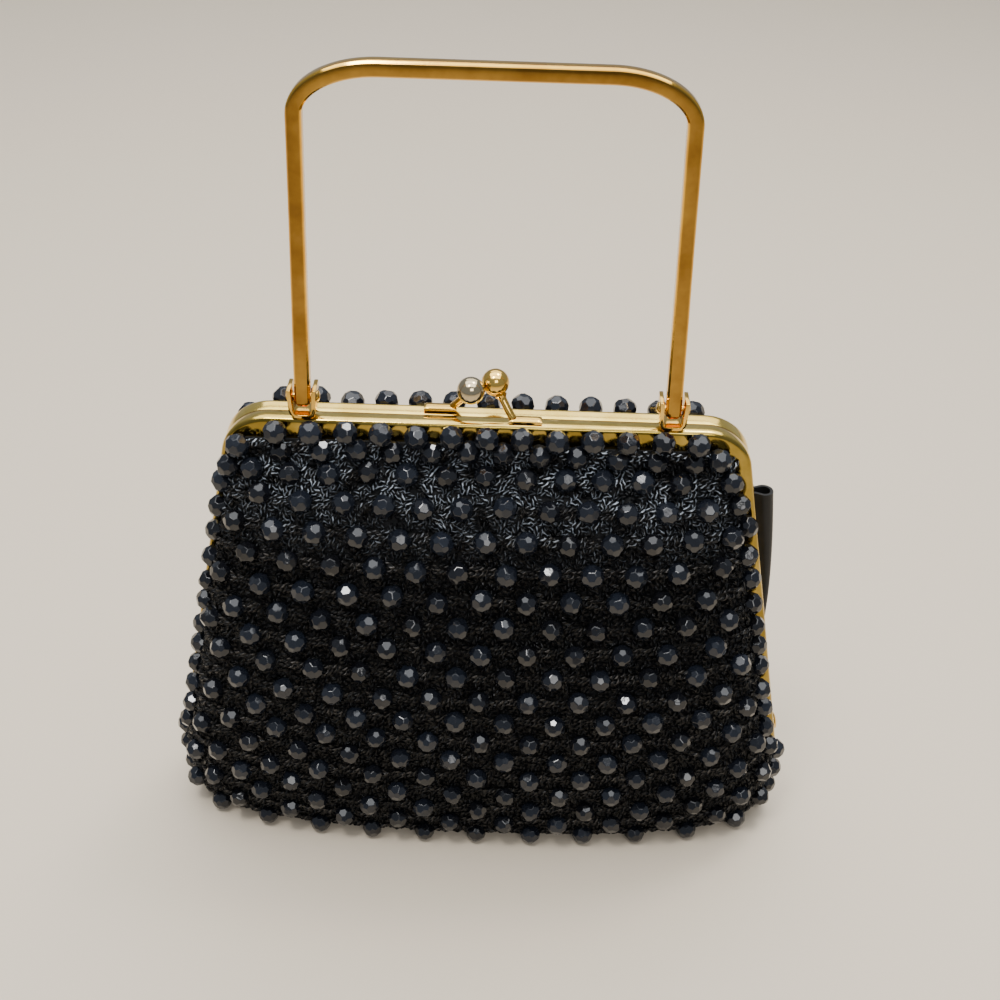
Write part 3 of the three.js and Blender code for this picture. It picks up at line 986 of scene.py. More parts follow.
@dataclass(frozen=True)
class PouchForm:
    """Outer surface of the crochet pouch, in millimetres."""

    depths: tuple[Span, ...] = (
        (0.0, 21.5), (1.5, 24.0), (5.5, 25.8), (14.5, 28.0), (24.0, 29.6), (38.5, 30.9), (55.0, 31.8),
        (76.0, 32.3), (97.0, 31.1), (119.0, 28.3), (135.0, 26.1), (146.0, 24.1), (155.0, 21.5),
        (164.0, 16.9), (172.0, 11.2), (177.0, 8.8), (180.0, 8.0), (184.0, 7.8),
    )
    low_widths: tuple[Span, ...] = (
        (0.0, 108.0), (1.5, 112.0), (5.5, 115.5), (14.5, 118.0), (24.0, 118.6), (32.0, 118.4), (46.0, 117.0),
    )
    curve: float = 2.6
    hem_y: float = 7.6
    wrap: Span = (36.0, 47.0)
    hem_inset: Span = (4.0, 6.0)
    back_inset: float = 4.7
    samples: int = 120
    probe: float = 0.8
    fold_back: float = 0.3

    def edge(self, face: Face, side: Side, z: float) -> Span:
        """Where a panel ends at one side.

        Args:
            face: Front or back panel.
            side: Left or right end.
            z: Height.

        Returns:
            Distance out from the middle and distance from the middle plane.
        """
        inset = self.back_inset if face is Face.BACK else self.hem_inset[side is Side.RIGHT]
        free = 1.0 - ease(z, *self.wrap)
        held = FRAME_ARCH.inside_width(z, inset)
        return held + (table_at(z, self.low_widths) - held) * free, self.hem_y * (1.0 - free)

    def half_line(self, face: Face, side: Side, z: float) -> np.ndarray:
        """Level line from the middle of a panel to one side.

        Args:
            face: Front or back panel.
            side: Left or right end.
            z: Height.

        Returns:
            Its points as distance out and depth, one a row.
        """
        edge_x, edge_y = self.edge(face, side, z)
        across = np.sin(np.linspace(0.0, QUARTER_TURN, self.samples))
        full = np.clip(1.0 - across**self.curve, 0.0, 1.0) ** (1.0 / self.curve)
        depth = table_at(z, self.depths)
        return np.stack([edge_x * across, edge_y + (max(depth, edge_y) - edge_y) * full], axis=1)

    def half_length(self, face: Face, side: Side, z: float) -> float:
        """Length of a level line from the middle to one side."""
        return float(np.linalg.norm(np.diff(self.half_line(face, side, z), axis=0), axis=1).sum())

    def span(self, face: Face, z: float) -> Span:
        """Distances along a level line from the middle to its left and right ends."""
        return -self.half_length(face, Side.LEFT, z), self.half_length(face, Side.RIGHT, z)

    def point(self, face: Face, z: float, reach: float) -> np.ndarray:
        """Point on the surface.

        Args:
            face: Front or back panel.
            z: Height.
            reach: Distance along the level line from the middle, negative to the left.

        Returns:
            The point.
        """
        side = Side.RIGHT if reach >= 0 else Side.LEFT
        line = self.half_line(face, side, z)
        run = np.concatenate([[0.0], np.cumsum(np.linalg.norm(np.diff(line, axis=0), axis=1))])
        x, y = (np.interp(abs(reach), run, line[:, k]) for k in (0, 1))
        return np.array([side.value * x, face.value * y, z])

    def spot(self, face: Face, z: float, reach: float) -> tuple[np.ndarray, np.ndarray, np.ndarray]:
        """Point on the surface with its directions.

        Args:
            face: Front or back panel.
            z: Height.
            reach: Distance along the level line from the middle, negative to the left.

        Returns:
            The point, the outward normal and the direction along the level line.
        """
        limit = self.half_length(face, Side.RIGHT if reach >= 0 else Side.LEFT, z)
        reach = max(min(reach, limit), -limit)
        near, far = max(reach - self.probe, -limit), min(reach + self.probe, limit)
        low, high = max(z - self.probe, 0.0), min(z + self.probe, self.depths[-1][0])
        along = self.point(face, z, far) - self.point(face, z, near)
        rise = self.point(face, high, reach) - self.point(face, low, reach)
        normal = np.cross(along, rise)
        normal = normal / np.linalg.norm(normal) * (-face.value)
        if normal[1] * face.value < -self.fold_back:
            normal = -normal
        return self.point(face, z, reach), normal, along / np.linalg.norm(along)


@dataclass
class CrochetPouch:
    """The crochet bag: a shell of matted yarn and the stitches that lie on it."""

    form: PouchForm
    ground: CrochetGround
    yarn: TwistedYarn
    levels: int = 76
    columns: int = 30
    top: float = 181.0
    sunk: float = 1.0
    wall: float = 1.4
    weld: float = 0.02
    base_flat: float = 0.01
    row_pitch: float = 2.95
    stitch_pitch: float = 3.15
    stitch_sunk: float = 0.5
    cord_half: float = 1.6
    cord_lift: float = 0.4
    cord_lean_deg: float = 90.0
    strand: tuple[tuple[float, float, float], ...] = (
        (0.15, -2.0, -0.25), (0.75, -0.75, 0.6), (1.2, 0.7, 0.6), (0.95, 2.0, -0.3),
    )
    strand_radii: tuple[float, ...] = (0.5625, 0.7875, 0.7875, 0.5625)
    strand_sides: int = 4
    strand_smooth_deg: float = 80.0
    lowest: float = 2.6
    lean_deg: float = 42.0
    stray_deg: float = 18.0
    stray: Span = (0.35, 0.4)
    turn_deg: tuple[float, float, float] = (18.0, 18.0, 0.0)
    scale: Span = (0.8, 1.15)
    seed: int = 11

    def _panel_rows(self, face: Face) -> list[Ring]:
        """Points of one panel.

        Args:
            face: Front or back panel.

        Returns:
            Rows of points from left to right, from the base up.
        """
        rows = []
        for turn in angles(math.pi, self.levels):
            z = self.top * (1.0 - math.cos(turn)) / 2.0
            row = []
            for side in Side:
                line = self.form.half_line(face, side, z)
                picks = np.linspace(0, len(line) - 1, self.columns + 1).round().astype(int)
                half = [Vector((side.value * line[i][0], face.value * line[i][1], z)) for i in picks]
                row.extend(half[::-1] if side is Side.LEFT else half[1:])
            rows.append(row)
        return rows

    def shell(self) -> bpy.types.Object:
        """Closed thin shell under the stitches.

        Returns:
            The finished shell.
        """
        sheet = bmesh.new()
        front, back = ([[sheet.verts.new(p) for p in row] for row in self._panel_rows(f)] for f in Face)
        for rows, turn in ((front, 1), (back, -1)):
            for low, high in zip(rows, rows[1:]):
                for i in range(len(low) - 1):
                    sheet.faces.new([low[i], low[i + 1], high[i + 1], high[i]][::turn])
        for i in range(len(front[0]) - 1):
            sheet.faces.new([front[0][i + 1], front[0][i], back[0][i], back[0][i + 1]])
        bmesh.ops.remove_doubles(sheet, verts=sheet.verts, dist=self.weld)
        bmesh.ops.recalc_face_normals(sheet, faces=sheet.faces)
        sheet.normal_update()
        for vert in sheet.verts:
            if vert.co.z > self.base_flat:
                vert.co -= vert.normal * self.sunk
                vert.co.z = max(vert.co.z, 0.0)
        obj = bmesh_object("crochet_shell", sheet)
        obj.data.transform(Matrix.Scale(MM, 4))
        obj.data.shade_smooth()
        thick = obj.modifiers.new("wall", "SOLIDIFY")
        thick.thickness = self.wall * MM
        thick.offset = -1.0
        return settle(dress(bake_modifiers(obj), self.ground), Slot.CROCHET, ROOT_BODY, "crochet_body")

    def _stitch_shape(self) -> bpy.types.Object:
        """One stitch: two bent strands that part upwards like a V.

        Returns:
            The shape, with the place along and around each strand as its UV.
        """
        points, faces, places = [], [], []
        for side in Side:
            path = [Vector((side.value * x, y, z)) for x, y, z in self.strand]
            more, rings, spots = tube_along(path, self.strand_radii, self.strand_sides)
            faces += [[i + len(points) for i in ring] for ring in rings]
            points += more
            places += spots
        obj = mesh_object("stitch_shape", points, faces, self.strand_smooth_deg)
        layer = obj.data.uv_layers.new(name="UVMap")
        layer.data.foreach_set("uv", np.asarray(places, np.float32).ravel())
        return obj

    def stitches(self, face: Face) -> bpy.types.Object:
        """Rows of stitches over one panel.

        Args:
            face: Front or back panel.

        Returns:
            One mesh of all its stitches.
        """
        luck = np.random.default_rng(self.seed + face.value)
        spots = []
        rows = int((self.top - self.lowest) / self.row_pitch)
        for r in range(rows + 1):
            z = self.lowest + r * self.row_pitch
            left, right = self.form.span(face, z)
            count = max(int((right - left) / self.stitch_pitch), 1)
            for c in range(count + 1):
                reach = left + (right - left) * (c + 0.5 * (r % 2)) / (count + 0.5)
                height = min(max(z + luck.normal(0.0, self.stray[0]), self.lowest), self.top)
                point, normal, along = self.form.spot(face, height, reach + luck.normal(0.0, self.stray[1]))
                cord = max(1.0 - min(abs(height - row) for row in BEAD_ROWS) / self.cord_half, 0.0)
                slant = self.cord_lean_deg if cord else self.lean_deg if (r + c) % 2 else -self.lean_deg
                lean = math.radians(slant + luck.normal(0.0, self.stray_deg))
                lift = self.cord_lift if cord else -self.stitch_sunk
                way = along * math.cos(lean) + np.cross(normal, along) * math.sin(lean)
                spots.append((point + normal * lift, normal, way, cord))
        places, normals, along, chain = (np.array(part) for part in zip(*spots))
        scatter = Scatter(f"stitches_{face.label}", self.seed, self.turn_deg, self.scale)
        obj = scatter.lay(places, normals, along, self._stitch_shape(), self.yarn, chain)
        return settle(obj, Slot.CROCHET, ROOT_BODY)


@dataclass
class BeadField:
    """Staggered rows of faceted beads sewn over both panels."""

    form: PouchForm
    finish: JetBead
    radius: float = 4.15
    proud: float = 1.7
    ground_room: float = 1.04
    facet_cut: float = 28.0
    small_facet: float = 3.0
    pitch: Span = (12.6, 21.4)
    widest_row: int = 15
    edge_count: int = 13
    edge_step: float = 11.7
    edge_y: float = 10.4
    edge_z: float = 186.0
    edge_jitter: float = 0.3
    edge_in: Span = (0.8, 3.2)
    presses: int = 60
    jitter: float = 0.42
    turn_deg: tuple[float, float, float] = (180.0, 180.0, 180.0)
    scale: Span = (0.98, 1.03)
    seed: int = 5

    def _bead_shape(self) -> bpy.types.Object:
        """One bead with five- and six-sided facets.

        Returns:
            The shape; its UV is 1 at the nearer edges of a six-sided facet and smaller on the others.
        """
        ball = bmesh.new()
        bmesh.ops.create_icosphere(ball, subdivisions=1, radius=1.0)
        cut = {"offset": self.facet_cut, "offset_type": "PERCENT", "segments": 1, "affect": "VERTICES"}
        bmesh.ops.bevel(ball, geom=ball.verts[:], **cut)
        reach = max(v.co.length for v in ball.verts)
        for vert in ball.verts:
            vert.co *= self.radius * MM / reach
        ball.normal_update()
        layer = ball.loops.layers.uv.new("UVMap")
        for facet in ball.faces:
            centre = facet.calc_center_median()
            longest = max(facet.edges, key=lambda edge: edge.calc_length())
            reach = (longest.verts[0].co + longest.verts[1].co) / 2 - centre
            level = reach.normalized()
            other = facet.normal.cross(level)
            scale = reach.length * (1.0 if len(facet.verts) == FACET_SIDES else self.small_facet)
            for loop in facet.loops:
                offset = (loop.vert.co - centre) / scale
                loop[layer].uv = (offset.dot(level), offset.dot(other))
        return bmesh_object("bead_shape", ball)

    def _places(self, face: Face) -> list[tuple[np.ndarray, np.ndarray, np.ndarray]]:
        """Where the beads of one panel are.

        Args:
            face: Front or back panel.

        Returns:
            Centre, outward normal and level direction of each bead, the row at the frame first.
        """
        luck = np.random.default_rng(self.seed + face.value)
        ahead, level = np.array([0.0, face.value, 0.0]), np.array([1.0, 0.0, 0.0])
        spots = []
        for i in range(self.edge_count):
            x = (i - (self.edge_count - 1) / 2) * self.edge_step
            z = self.edge_z + luck.normal(0.0, self.edge_jitter)
            spots.append((np.array([x, face.value * self.edge_y, z]), ahead, level))
        for r, height in enumerate(BEAD_ROWS):
            pitch = self.pitch[0] + (self.pitch[1] - self.pitch[0]) * min(r / self.widest_row, 1.0)
            left, right = self.form.span(face, height)
            shift = 0.5 if r % 2 == 0 else 0.0
            first = math.ceil(left / pitch + 0.5 - shift)
            last = math.floor(right / pitch - 0.5 - shift)
            reaches = [(k + shift) * pitch for k in range(first, last + 1)]
            if face is Face.FRONT or height > self.form.wrap[1]:
                reaches += [left + self.edge_in[0], right - self.edge_in[1]]
            for reach in reaches:
                inside = max(min(reach + luck.normal(0.0, self.jitter), right), left)
                point, normal, along = self.form.spot(face, height + luck.normal(0.0, self.jitter), inside)
                centre = point + normal * self.proud
                centre[2] = max(centre[2], self.radius * self.ground_room)
                spots.append((centre, normal, along))
        return spots

    def _press_apart(self, centres: np.ndarray) -> np.ndarray:
        """Move beads aside where they would cut into each other; the row at the frame stays.

        Args:
            centres: Bead centres, the row at the frame first.

        Returns:
            The moved centres.
        """
        for _ in range(self.presses):
            apart = centres[:, None] - centres[None]
            reach = np.linalg.norm(apart, axis=2)
            np.fill_diagonal(reach, np.inf)
            push = np.clip(2.0 * self.radius - reach, 0.0, None) / reach * 0.5
            move = (apart * push[..., None]).sum(axis=1)
            move[: self.edge_count] = 0.0
            centres = centres + move
        return centres

    def build(self, face: Face) -> bpy.types.Object:
        """All the beads of one panel.

        Args:
            face: Front or back panel.

        Returns:
            One mesh of beads.
        """
        places, normals, along = (np.array(part) for part in zip(*self._places(face)))
        places = self._press_apart(places)
        scatter = Scatter(f"beads_{face.label}", self.seed, self.turn_deg, self.scale)
        obj = scatter.lay(places, normals, along, self._bead_shape(), self.finish)
        nodes = [f"edge_bead_{face.label}_{i + 1:02d}" for i in range(self.edge_count)]
        LOG.info("%d beads", len(places))
        return settle(obj, Slot.BEADS, ROOT_BODY, *nodes)


@dataclass
class SatinGusset:
    """Satin fold between the two legs at one side of the frame.

    Each row gives a height, how far the fold reaches out from the leg and the radius of its bend.
    """

    side: Side
    rows: tuple[tuple[float, float, float], ...]
    hem: float
    outward: bool
    finish: DullSatin
    satin: float = 1.0
    half: float = 1.7
    steps: int = 28
    levels: int = 40
    arc_deg: float = 240.0
    gap: float = 0.3
    smooth_deg: float = 50.0
    threads: float = 2.5

    def _line(self, reach: float, radius: float, layer: float) -> list[Span]:
        """Level line of the fold.

        Args:
            reach: How far the fold reaches out from the leg.
            radius: Radius of its bend.
            layer: Depth in the cloth under its outer face.

        Returns:
            Distance out from the leg and distance from the middle plane of each point.
        """
        half = self.half - layer
        bend = (radius if self.outward else self.half) - layer
        if not self.outward:
            turns = [turn - QUARTER_TURN for turn in angles(math.pi, self.steps)]
            arc = [(reach - math.cos(a) * bend, math.sin(a) * bend) for a in turns]
            return [(self.hem, -half), *arc, (self.hem, half)]
        centre = reach - radius
        start = min(centre - radius, -self.gap)
        arc = []
        for i in range(self.steps + 1):
            angle = math.radians(self.arc_deg) * (i / self.steps - 0.5)
            wide = abs(math.sin(angle)) * bend
            if abs(angle) > QUARTER_TURN:
                wide = max(wide, half)
            arc.append((centre + math.cos(angle) * bend, math.copysign(wide, angle)))
        return [(self.hem, -half), (start, -half), *arc, (start, half), (self.hem, half)]

    def _skin(self) -> tuple[Ring, Faces, float]:
        """The folded cloth with both its faces and its four edges.

        Returns:
            Points, faces and the mean length of its level lines along the middle of the cloth.
        """
        heights, reaches, radii = zip(*self.rows)
        slant = math.cos(FRAME_ARCH.flare)
        rings, lengths = [], []
        for k in range(self.levels + 1):
            z = heights[0] + (heights[-1] - heights[0]) * k / self.levels
            fold = table_at(z, list(zip(heights, reaches))), table_at(z, list(zip(heights, radii)))
            base = FRAME_ARCH.leg_x(z)
            outline = self._line(*fold, 0.0) + self._line(*fold, self.satin)[::-1]
            rings.append([Vector((self.side.value * (base + x / slant), y, z)) for x, y in outline])
            middle = self._line(*fold, self.satin / 2)
            lengths.append(sum(math.dist(a, b) for a, b in zip(middle, middle[1:])))
        points, faces = loft(rings, capped=False)
        around = len(rings[0])
        last = len(points) - around
        for i in range(around // 2 - 1):
            far = around - 1 - i
            faces.append([i, far, far - 1, i + 1])
            faces.append([last + i, last + i + 1, last + far - 1, last + far])
        return points, faces, sum(lengths) / len(lengths)

    def build(self) -> bpy.types.Object:
        """The folded sheet, with its flat size logged.

        Returns:
            The finished sheet.
        """
        points, faces, width = self._skin()
        height = (self.rows[-1][0] - self.rows[0][0]) / math.cos(FRAME_ARCH.flare)
        obj = mesh_object(f"satin_{self.side.label}", points, faces, self.smooth_deg)
        cloth = bmesh.new()
        cloth.from_mesh(obj.data)
        bmesh.ops.recalc_face_normals(cloth, faces=cloth.faces)
        layer = cloth.loops.layers.uv.new("UVMap")
        for loop in (loop for face in cloth.faces for loop in face.loops):
            loop[layer].uv = loop.vert.co.yz / MM * self.threads
        cloth.to_mesh(obj.data)
        cloth.free()
        settle(dress(obj, self.finish), Slot.SATIN, ROOT_BODY, f"gusset_{self.side.label}")
        width * MM
        width * height * MM * MM
        LOG.info("%s is %.0f by %.0f mm flat", obj.name, width, height)
        return obj


@dataclass
class SnapFrame:
    """The two bent angles that hold the pouch, each with a rounded shoulder and a rolled lip.

    The tip's rows give the flange's width at distances up the leg, and the slot is its lowest and highest
    point and its half width.
    """

    finish: AgedGold
    depth: float = 6.2
    metal: float = 1.2
    shoulder: float = 1.8
    seam: float = 0.15
    crown: float = 0.6
    inner_lean: float = 0.2
    tip: tuple[Span, ...] = ((0.0, 3.5), (1.2, 5.2), (2.5, 6.4), (4.5, 7.4), (7.0, 8.0))
    slot: tuple[float, float, float] = (86.0, 164.5, 2.0)
    slot_through: float = 6.0
    crown_steps: int = 6
    shoulder_steps: int = 8
    roll_steps: int = 6
    corner_steps: int = 16
    smooth_deg: float = 32.0

    def _section(self, flange: float) -> list[Span]:
        """Outline of the angle.

        Args:
            flange: Width of the flange.

        Returns:
            Distance in from the outer face and distance from the middle plane of each point.
        """
        crest = self.depth - self.shoulder
        outline = []
        for i in range(self.crown_steps + 1):
            share = i / self.crown_steps
            outline.append((self.crown * (1.0 - share) ** 2, self.seam + (crest - self.seam) * share))
        for angle in angles(QUARTER_TURN, self.shoulder_steps)[1:]:
            outline.append((self.shoulder * (1 - math.cos(angle)), crest + self.shoulder * math.sin(angle)))
        roll = self.metal / 2
        for angle in angles(math.pi, self.roll_steps):
            x, y = flange - roll + roll * math.sin(angle), self.depth - roll + roll * math.cos(angle)
            outline.append((x, y))
        outline.append((self.metal, self.depth - self.metal))
        outline.append((self.metal + self.inner_lean, self.seam))
        return outline

    def _slot_cutter(self) -> bpy.types.Object:
        """Box that opens the right leg for the satin fold.

        Returns:
            The box.
        """
        low, high, half = self.slot
        middle = (low + high) / 2
        cutter = bmesh.new()
        bmesh.ops.create_cube(cutter, size=1.0)
        length = (high - low) / math.cos(FRAME_ARCH.flare)
        size = Matrix.Diagonal((self.slot_through * MM, 2 * half * MM, length * MM, 1.0))
        turn = Matrix.Rotation(-FRAME_ARCH.flare, 4, "Y")
        spot = Matrix.Translation(Vector((FRAME_ARCH.leg_x(middle), 0.0, middle)) * MM)
        bmesh.ops.transform(cutter, matrix=spot @ turn @ size, verts=cutter.verts)
        return bmesh_object("slot_cutter", cutter)

    def build(self, face: Face) -> bpy.types.Object:
        """One half of the frame.

        Args:
            face: Front or back half.

        Returns:
            The finished half.
        """
        rings = []
        for place, out, up in FRAME_ARCH.stations([up for up, _ in self.tip], self.corner_steps):
            section = self._section(table_at(up, self.tip))
            rings.append([place - out * x + AXIS_Y * (face.value * y) for x, y in section])
        obj = mesh_object(f"frame_{face.label}", *loft(rings), self.smooth_deg)
        cut = obj.modifiers.new("slot", "BOOLEAN")
        cut.operation = "DIFFERENCE"
        cut.solver = "EXACT"
        cut.object = self._slot_cutter()
        tool = cut.object.data
        bake_modifiers(obj)
        bpy.data.meshes.remove(tool)
        return settle(dress(obj, self.finish), Slot.FRAME, ROOT_BODY, f"{face.label}_frame")


@dataclass
class BailHandle:
    """The stiff handle: a flat bar with narrow bevels, bent to a bail."""

    finish: AgedGold
    width: float = 4.8
    depth: float = 5.0
    bevel: float = 0.8
    soft: float = 0.224
    soft_cut: Span = (0.35, 0.5)
    y: float = HANDLE_PIVOT[1]
    tip_scale: float = 0.7
    ups: tuple[float, ...] = (0.0, 1.2, 2.4, 16.0, 28.0, 40.0, 51.0, 62.0)
    spread: tuple[Span, ...] = ((16.0, 1.09), (62.0, 1.0))
    corner_steps: int = 26
    smooth_deg: float = 28.0

    def _section(self) -> list[Span]:
        """Outline of the bar with softly broken edges.

        Returns:
            Its points, across the bar and through it.
        """
        x, y = self.width / 2, self.depth / 2
        inner = self.bevel + self.soft
        out, back = self.soft * self.soft_cut[0], self.bevel - self.soft * self.soft_cut[1]
        corner = [(x, y - inner), (x - out, y - back), (x - back, y - out), (x - inner, y)]
        outline = corner + [(-px, py) for px, py in corner[::-1]]
        return outline + [(-px, -py) for px, py in outline]

    def build(self) -> bpy.types.Object:
        """Bend the bar round its arch.

        Returns:
            The finished handle.
        """
        section = self._section()
        rings = []
        for place, out, up in HANDLE_ARCH.stations(self.ups, self.corner_steps):
            scale = self.tip_scale if up == 0.0 else 1.0
            wide = scale * table_at(up, self.spread)
            rings.append([place + out * (x * wide) + AXIS_Y * (self.y + y * scale) for x, y in section])
        obj = mesh_object("handle_bar", *loft(rings), self.smooth_deg)
        return settle(dress(obj, self.finish), Slot.GOLD, HANDLE_BODY, "handle")


@dataclass
class HandlePost:
    """A metal strip bent to a U, in which the handle's end turns."""

    side: Side
    finish: AgedGold
    x: float = HANDLE_PIVOT[0]
    y: float = HANDLE_PIVOT[1]
    foot: float = 188.8
    width: float = 9.0
    depth: float = 8.0
    height: float = 10.8
    metal: float = 1.4
    corner: float = 3.0
    corner_steps: int = 8
    flare: float = 0.35
    bevel: float = 0.28
    bevel_deg: float = 50.0
    bevel_segments: int = 2
    smooth_deg: float = 40.0

    def _outline(self) -> list[Span]:
        """Outline of the strip seen from the front.

        Returns:
            Its points, across and up, round the outside and back round the inside.
        """
        half, inner = self.width / 2, self.width / 2 - self.metal
        small = self.corner - self.metal
        right, back = [(half + self.flare, self.height)], [(inner + self.flare, self.height)]
        for angle in angles(QUARTER_TURN, self.corner_steps):
            in_by, up_by = 1 - math.cos(angle), math.sin(angle)
            right.append((half - self.corner * in_by, self.corner * (1 - up_by)))
            back.append((inner - small * in_by, self.corner - small * up_by))
        left = [(-px, pz) for px, pz in right[::-1]]
        return right + left + [(-px, pz) for px, pz in back] + back[::-1]

    def build(self) -> bpy.types.Object:
        """Cut the strip to its depth and soften its edges.

        Returns:
            The finished post.
        """
        middle = Vector((self.side.value * self.x, self.y, self.foot))
        rings = []
        for y in (-self.depth / 2, self.depth / 2):
            rings.append([middle + Vector((px, y, pz)) for px, pz in self._outline()])
        obj = mesh_object(f"post_strip_{self.side.label}", *loft(rings), self.smooth_deg)
        soft = obj.modifiers.new("soft", "BEVEL")
        soft.width = self.bevel * MM
        soft.segments = self.bevel_segments
        soft.limit_method = "ANGLE"
        soft.angle_limit = math.radians(self.bevel_deg)
        shade(bake_modifiers(obj), self.smooth_deg)
        return settle(dress(obj, self.finish), Slot.GOLD, ROOT_BODY, f"post_{self.side.label}")


@dataclass
class RivetPair:
    """Two like rivets with domed heads, one at each side."""

    name: str
    nodes: tuple[str, str]
    places: list[Vector]
    outward: list[Vector]
    head: float
    head_height: float
    shank: float
    half_grip: float
    finish: AgedGold
    sides: int = 28
    dome_steps: int = 5
    smooth_deg: float = 40.0

    def _shape(self) -> bpy.types.Object:
        """One rivet along Z, as a turned profile.

        Returns:
            The shape.
        """
        upper = [(self.shank, self.half_grip)]
        for angle in angles(QUARTER_TURN, self.dome_steps)[:-1]:
            rise = self.head_height * math.sin(angle)
            upper.append((self.head * math.cos(angle), self.half_grip + rise))
        profile = [(r, -z) for r, z in upper[::-1]] + upper
        top = self.half_grip + self.head_height
        points = [AXIS_Z * -top, AXIS_Z * top]
        first = len(points)
        for r, z in profile:
            points += circle(AXIS_Z * z, AXIS_X, AXIS_Y, r, self.sides)
        faces = ring_faces(len(profile), self.sides, first)
        last = len(points) - self.sides
        for k in range(self.sides):
            after = (k + 1) % self.sides
            faces += [[0, first + after, first + k], [1, last + k, last + after]]
        return mesh_object("rivet_shape", points, faces, self.smooth_deg)

    def build(self) -> bpy.types.Object:
        """Set the rivet at both sides.

        Returns:
            Both rivets as one piece.
        """
        places, facing = np.array(self.places), np.array(self.outward)
        along = np.array([AXIS_Y] * len(places))
        obj = Scatter(self.name, seed=1).lay(places, facing, along, self._shape(), self.finish)
        return settle(obj, Slot.GOLD, ROOT_BODY, *self.nodes)


@dataclass
class ClaspArm:
    """One half of the snap clasp: a foot bar, a bent neck and a ball in a small cup."""

    face: Face
    finish: AgedGold
    x: float = -1.75
    frame_top: float = FRAME_ARCH.top
    gap: float = 0.3
    ball_radius: float = 4.65
    ball_reach: float = 3.95
    ball_lean: float = 2.85
    ball_height: float = 11.4
    ball_sides: int = 40
    ball_bands: int = 24
    ball_pole: float = 0.001
    foot: tuple[float, float, float] = (11.0, 3.8, 1.4)
    foot_y: float = 3.1
    foot_steps: int = 12
    foot_edge: float = 0.35
    foot_end: float = 0.9
    foot_round: float = 0.6
    neck_radius: float = 1.3
    neck_offset: float = 10.2
    neck_rise: float = 0.75
    neck_bend: tuple[float, float, float] = (-1.8, 0.8, 2.2)
    neck_steps: int = 24
    neck_sides: int = 20
    cup: Span = (0.9, 1.6)
    smooth_deg: float = 42.0

    def _turned(self, p: Vector) -> Vector:
        """Point of the front arm, turned half round for the back one and moved to the clasp's place."""
        sign = -self.face.value
        return Vector((self.x + sign * p.x, sign * p.y, p.z))

    @property
    def _ball_centre(self) -> Vector:
        """Middle of the ball."""
        return Vector((self.ball_reach, self.ball_lean, self.frame_top + self.ball_height))

    def _ball(self) -> tuple[Ring, Faces]:
        """The ball.

        Returns:
            Points and faces.
        """
        rings = []
        for i in range(self.ball_bands + 1):
            polar = math.pi * min(max(i / self.ball_bands, self.ball_pole), 1.0 - self.ball_pole)
            level = self._ball_centre + AXIS_Z * (math.cos(polar) * self.ball_radius)
            rings.append(circle(level, AXIS_X, AXIS_Y, math.sin(polar) * self.ball_radius, self.ball_sides))
        return loft(rings)

    def _neck(self) -> tuple[Ring, Faces]:
        """The neck: round wire from the foot to the ball, widening to a cup under the ball.

        Returns:
            Points and faces.
        """
        low = self.frame_top + self.gap + self.foot[2] * self.neck_rise
        start = Vector((self.neck_offset, -self.foot_y, low))
        bend = start + Vector(self.neck_bend)
        end = self._ball_centre
        wider, cup_reach = self.cup
        path, radii = [], []
        for i in range(self.neck_steps + 1):
            t = i / self.neck_steps
            point = start * (1 - t) ** 2 + bend * (2 * t * (1 - t)) + end * t * t
            clear = (point - end).length - self.ball_radius
            path.append(point)
            radii.append(self.neck_radius + wider * max(0.0, 1.0 - abs(clear) / cup_reach) ** 2)
        points, faces, _ = tube_along(path, radii, self.neck_sides, capped=True)
        return points, faces

    def _foot(self) -> tuple[Ring, Faces]:
        """The foot: a half-round bar with rounded ends along the frame's top.

        Returns:
            Points and faces.
        """
        length, wide, high = self.foot
        base = self.frame_top + self.gap
        rings = []
        for i in range(self.foot_steps + 1):
            t = i / self.foot_steps
            end = min(t, 1 - t) * length
            shrink = math.sqrt(max(1 - (1 - min(end / self.foot_end, 1.0)) ** 2, 0.0)) * 0.5 + 0.5
            rise = (high - self.foot_edge) * shrink
            outline = []
            for angle in angles(math.pi, self.foot_steps):
                up = self.foot_edge + rise * math.sin(angle) ** self.foot_round
                outline.append((wide / 2 * math.cos(angle), up))
            outline += [(-wide / 2, 0.0), (wide / 2, 0.0)]
            x = self.neck_offset - self.neck_radius + length * t
            rings.append([Vector((x, y - self.foot_y, base + up)) for y, up in outline])
        return loft(rings)

    def build(self) -> bpy.types.Object:
        """Make the three parts and join them.

        Returns:
            The finished arm.
        """
        parts = []
        for points, faces in (self._ball(), self._neck(), self._foot()):
            parts.append(mesh_object("clasp_part", [self._turned(p) for p in points], faces))
        obj = join_meshes(f"clasp_arm_{self.face.label}", parts)
        shade(obj, self.smooth_deg)
        return settle(dress(obj, self.finish), Slot.GOLD, ROOT_BODY, f"clasp_{self.face.label}")


# Studio


@dataclass(frozen=True)
class Lamp:
    """A soft oblong lamp that points at a place."""

    name: str
    place: tuple[float, float, float]
    aim: tuple[float, float, float]
    size: Span
    watts: float
    colour: Colour = (1.0, 1.0, 1.0)

    def build(self) -> bpy.types.Object:
        """Put the lamp into the scene.

        Returns:
            The lamp.
        """
        data = bpy.data.lights.new(self.name, "AREA")
        data.shape = "RECTANGLE"
        data.size, data.size_y = self.size
        data.energy = self.watts
        data.color = self.colour
        obj = link(bpy.data.objects.new(self.name, data))
        obj.location = self.place
        obj.rotation_euler = (Vector(self.aim) - Vector(self.place)).to_track_quat("-Z", "Y").to_euler()
        return obj


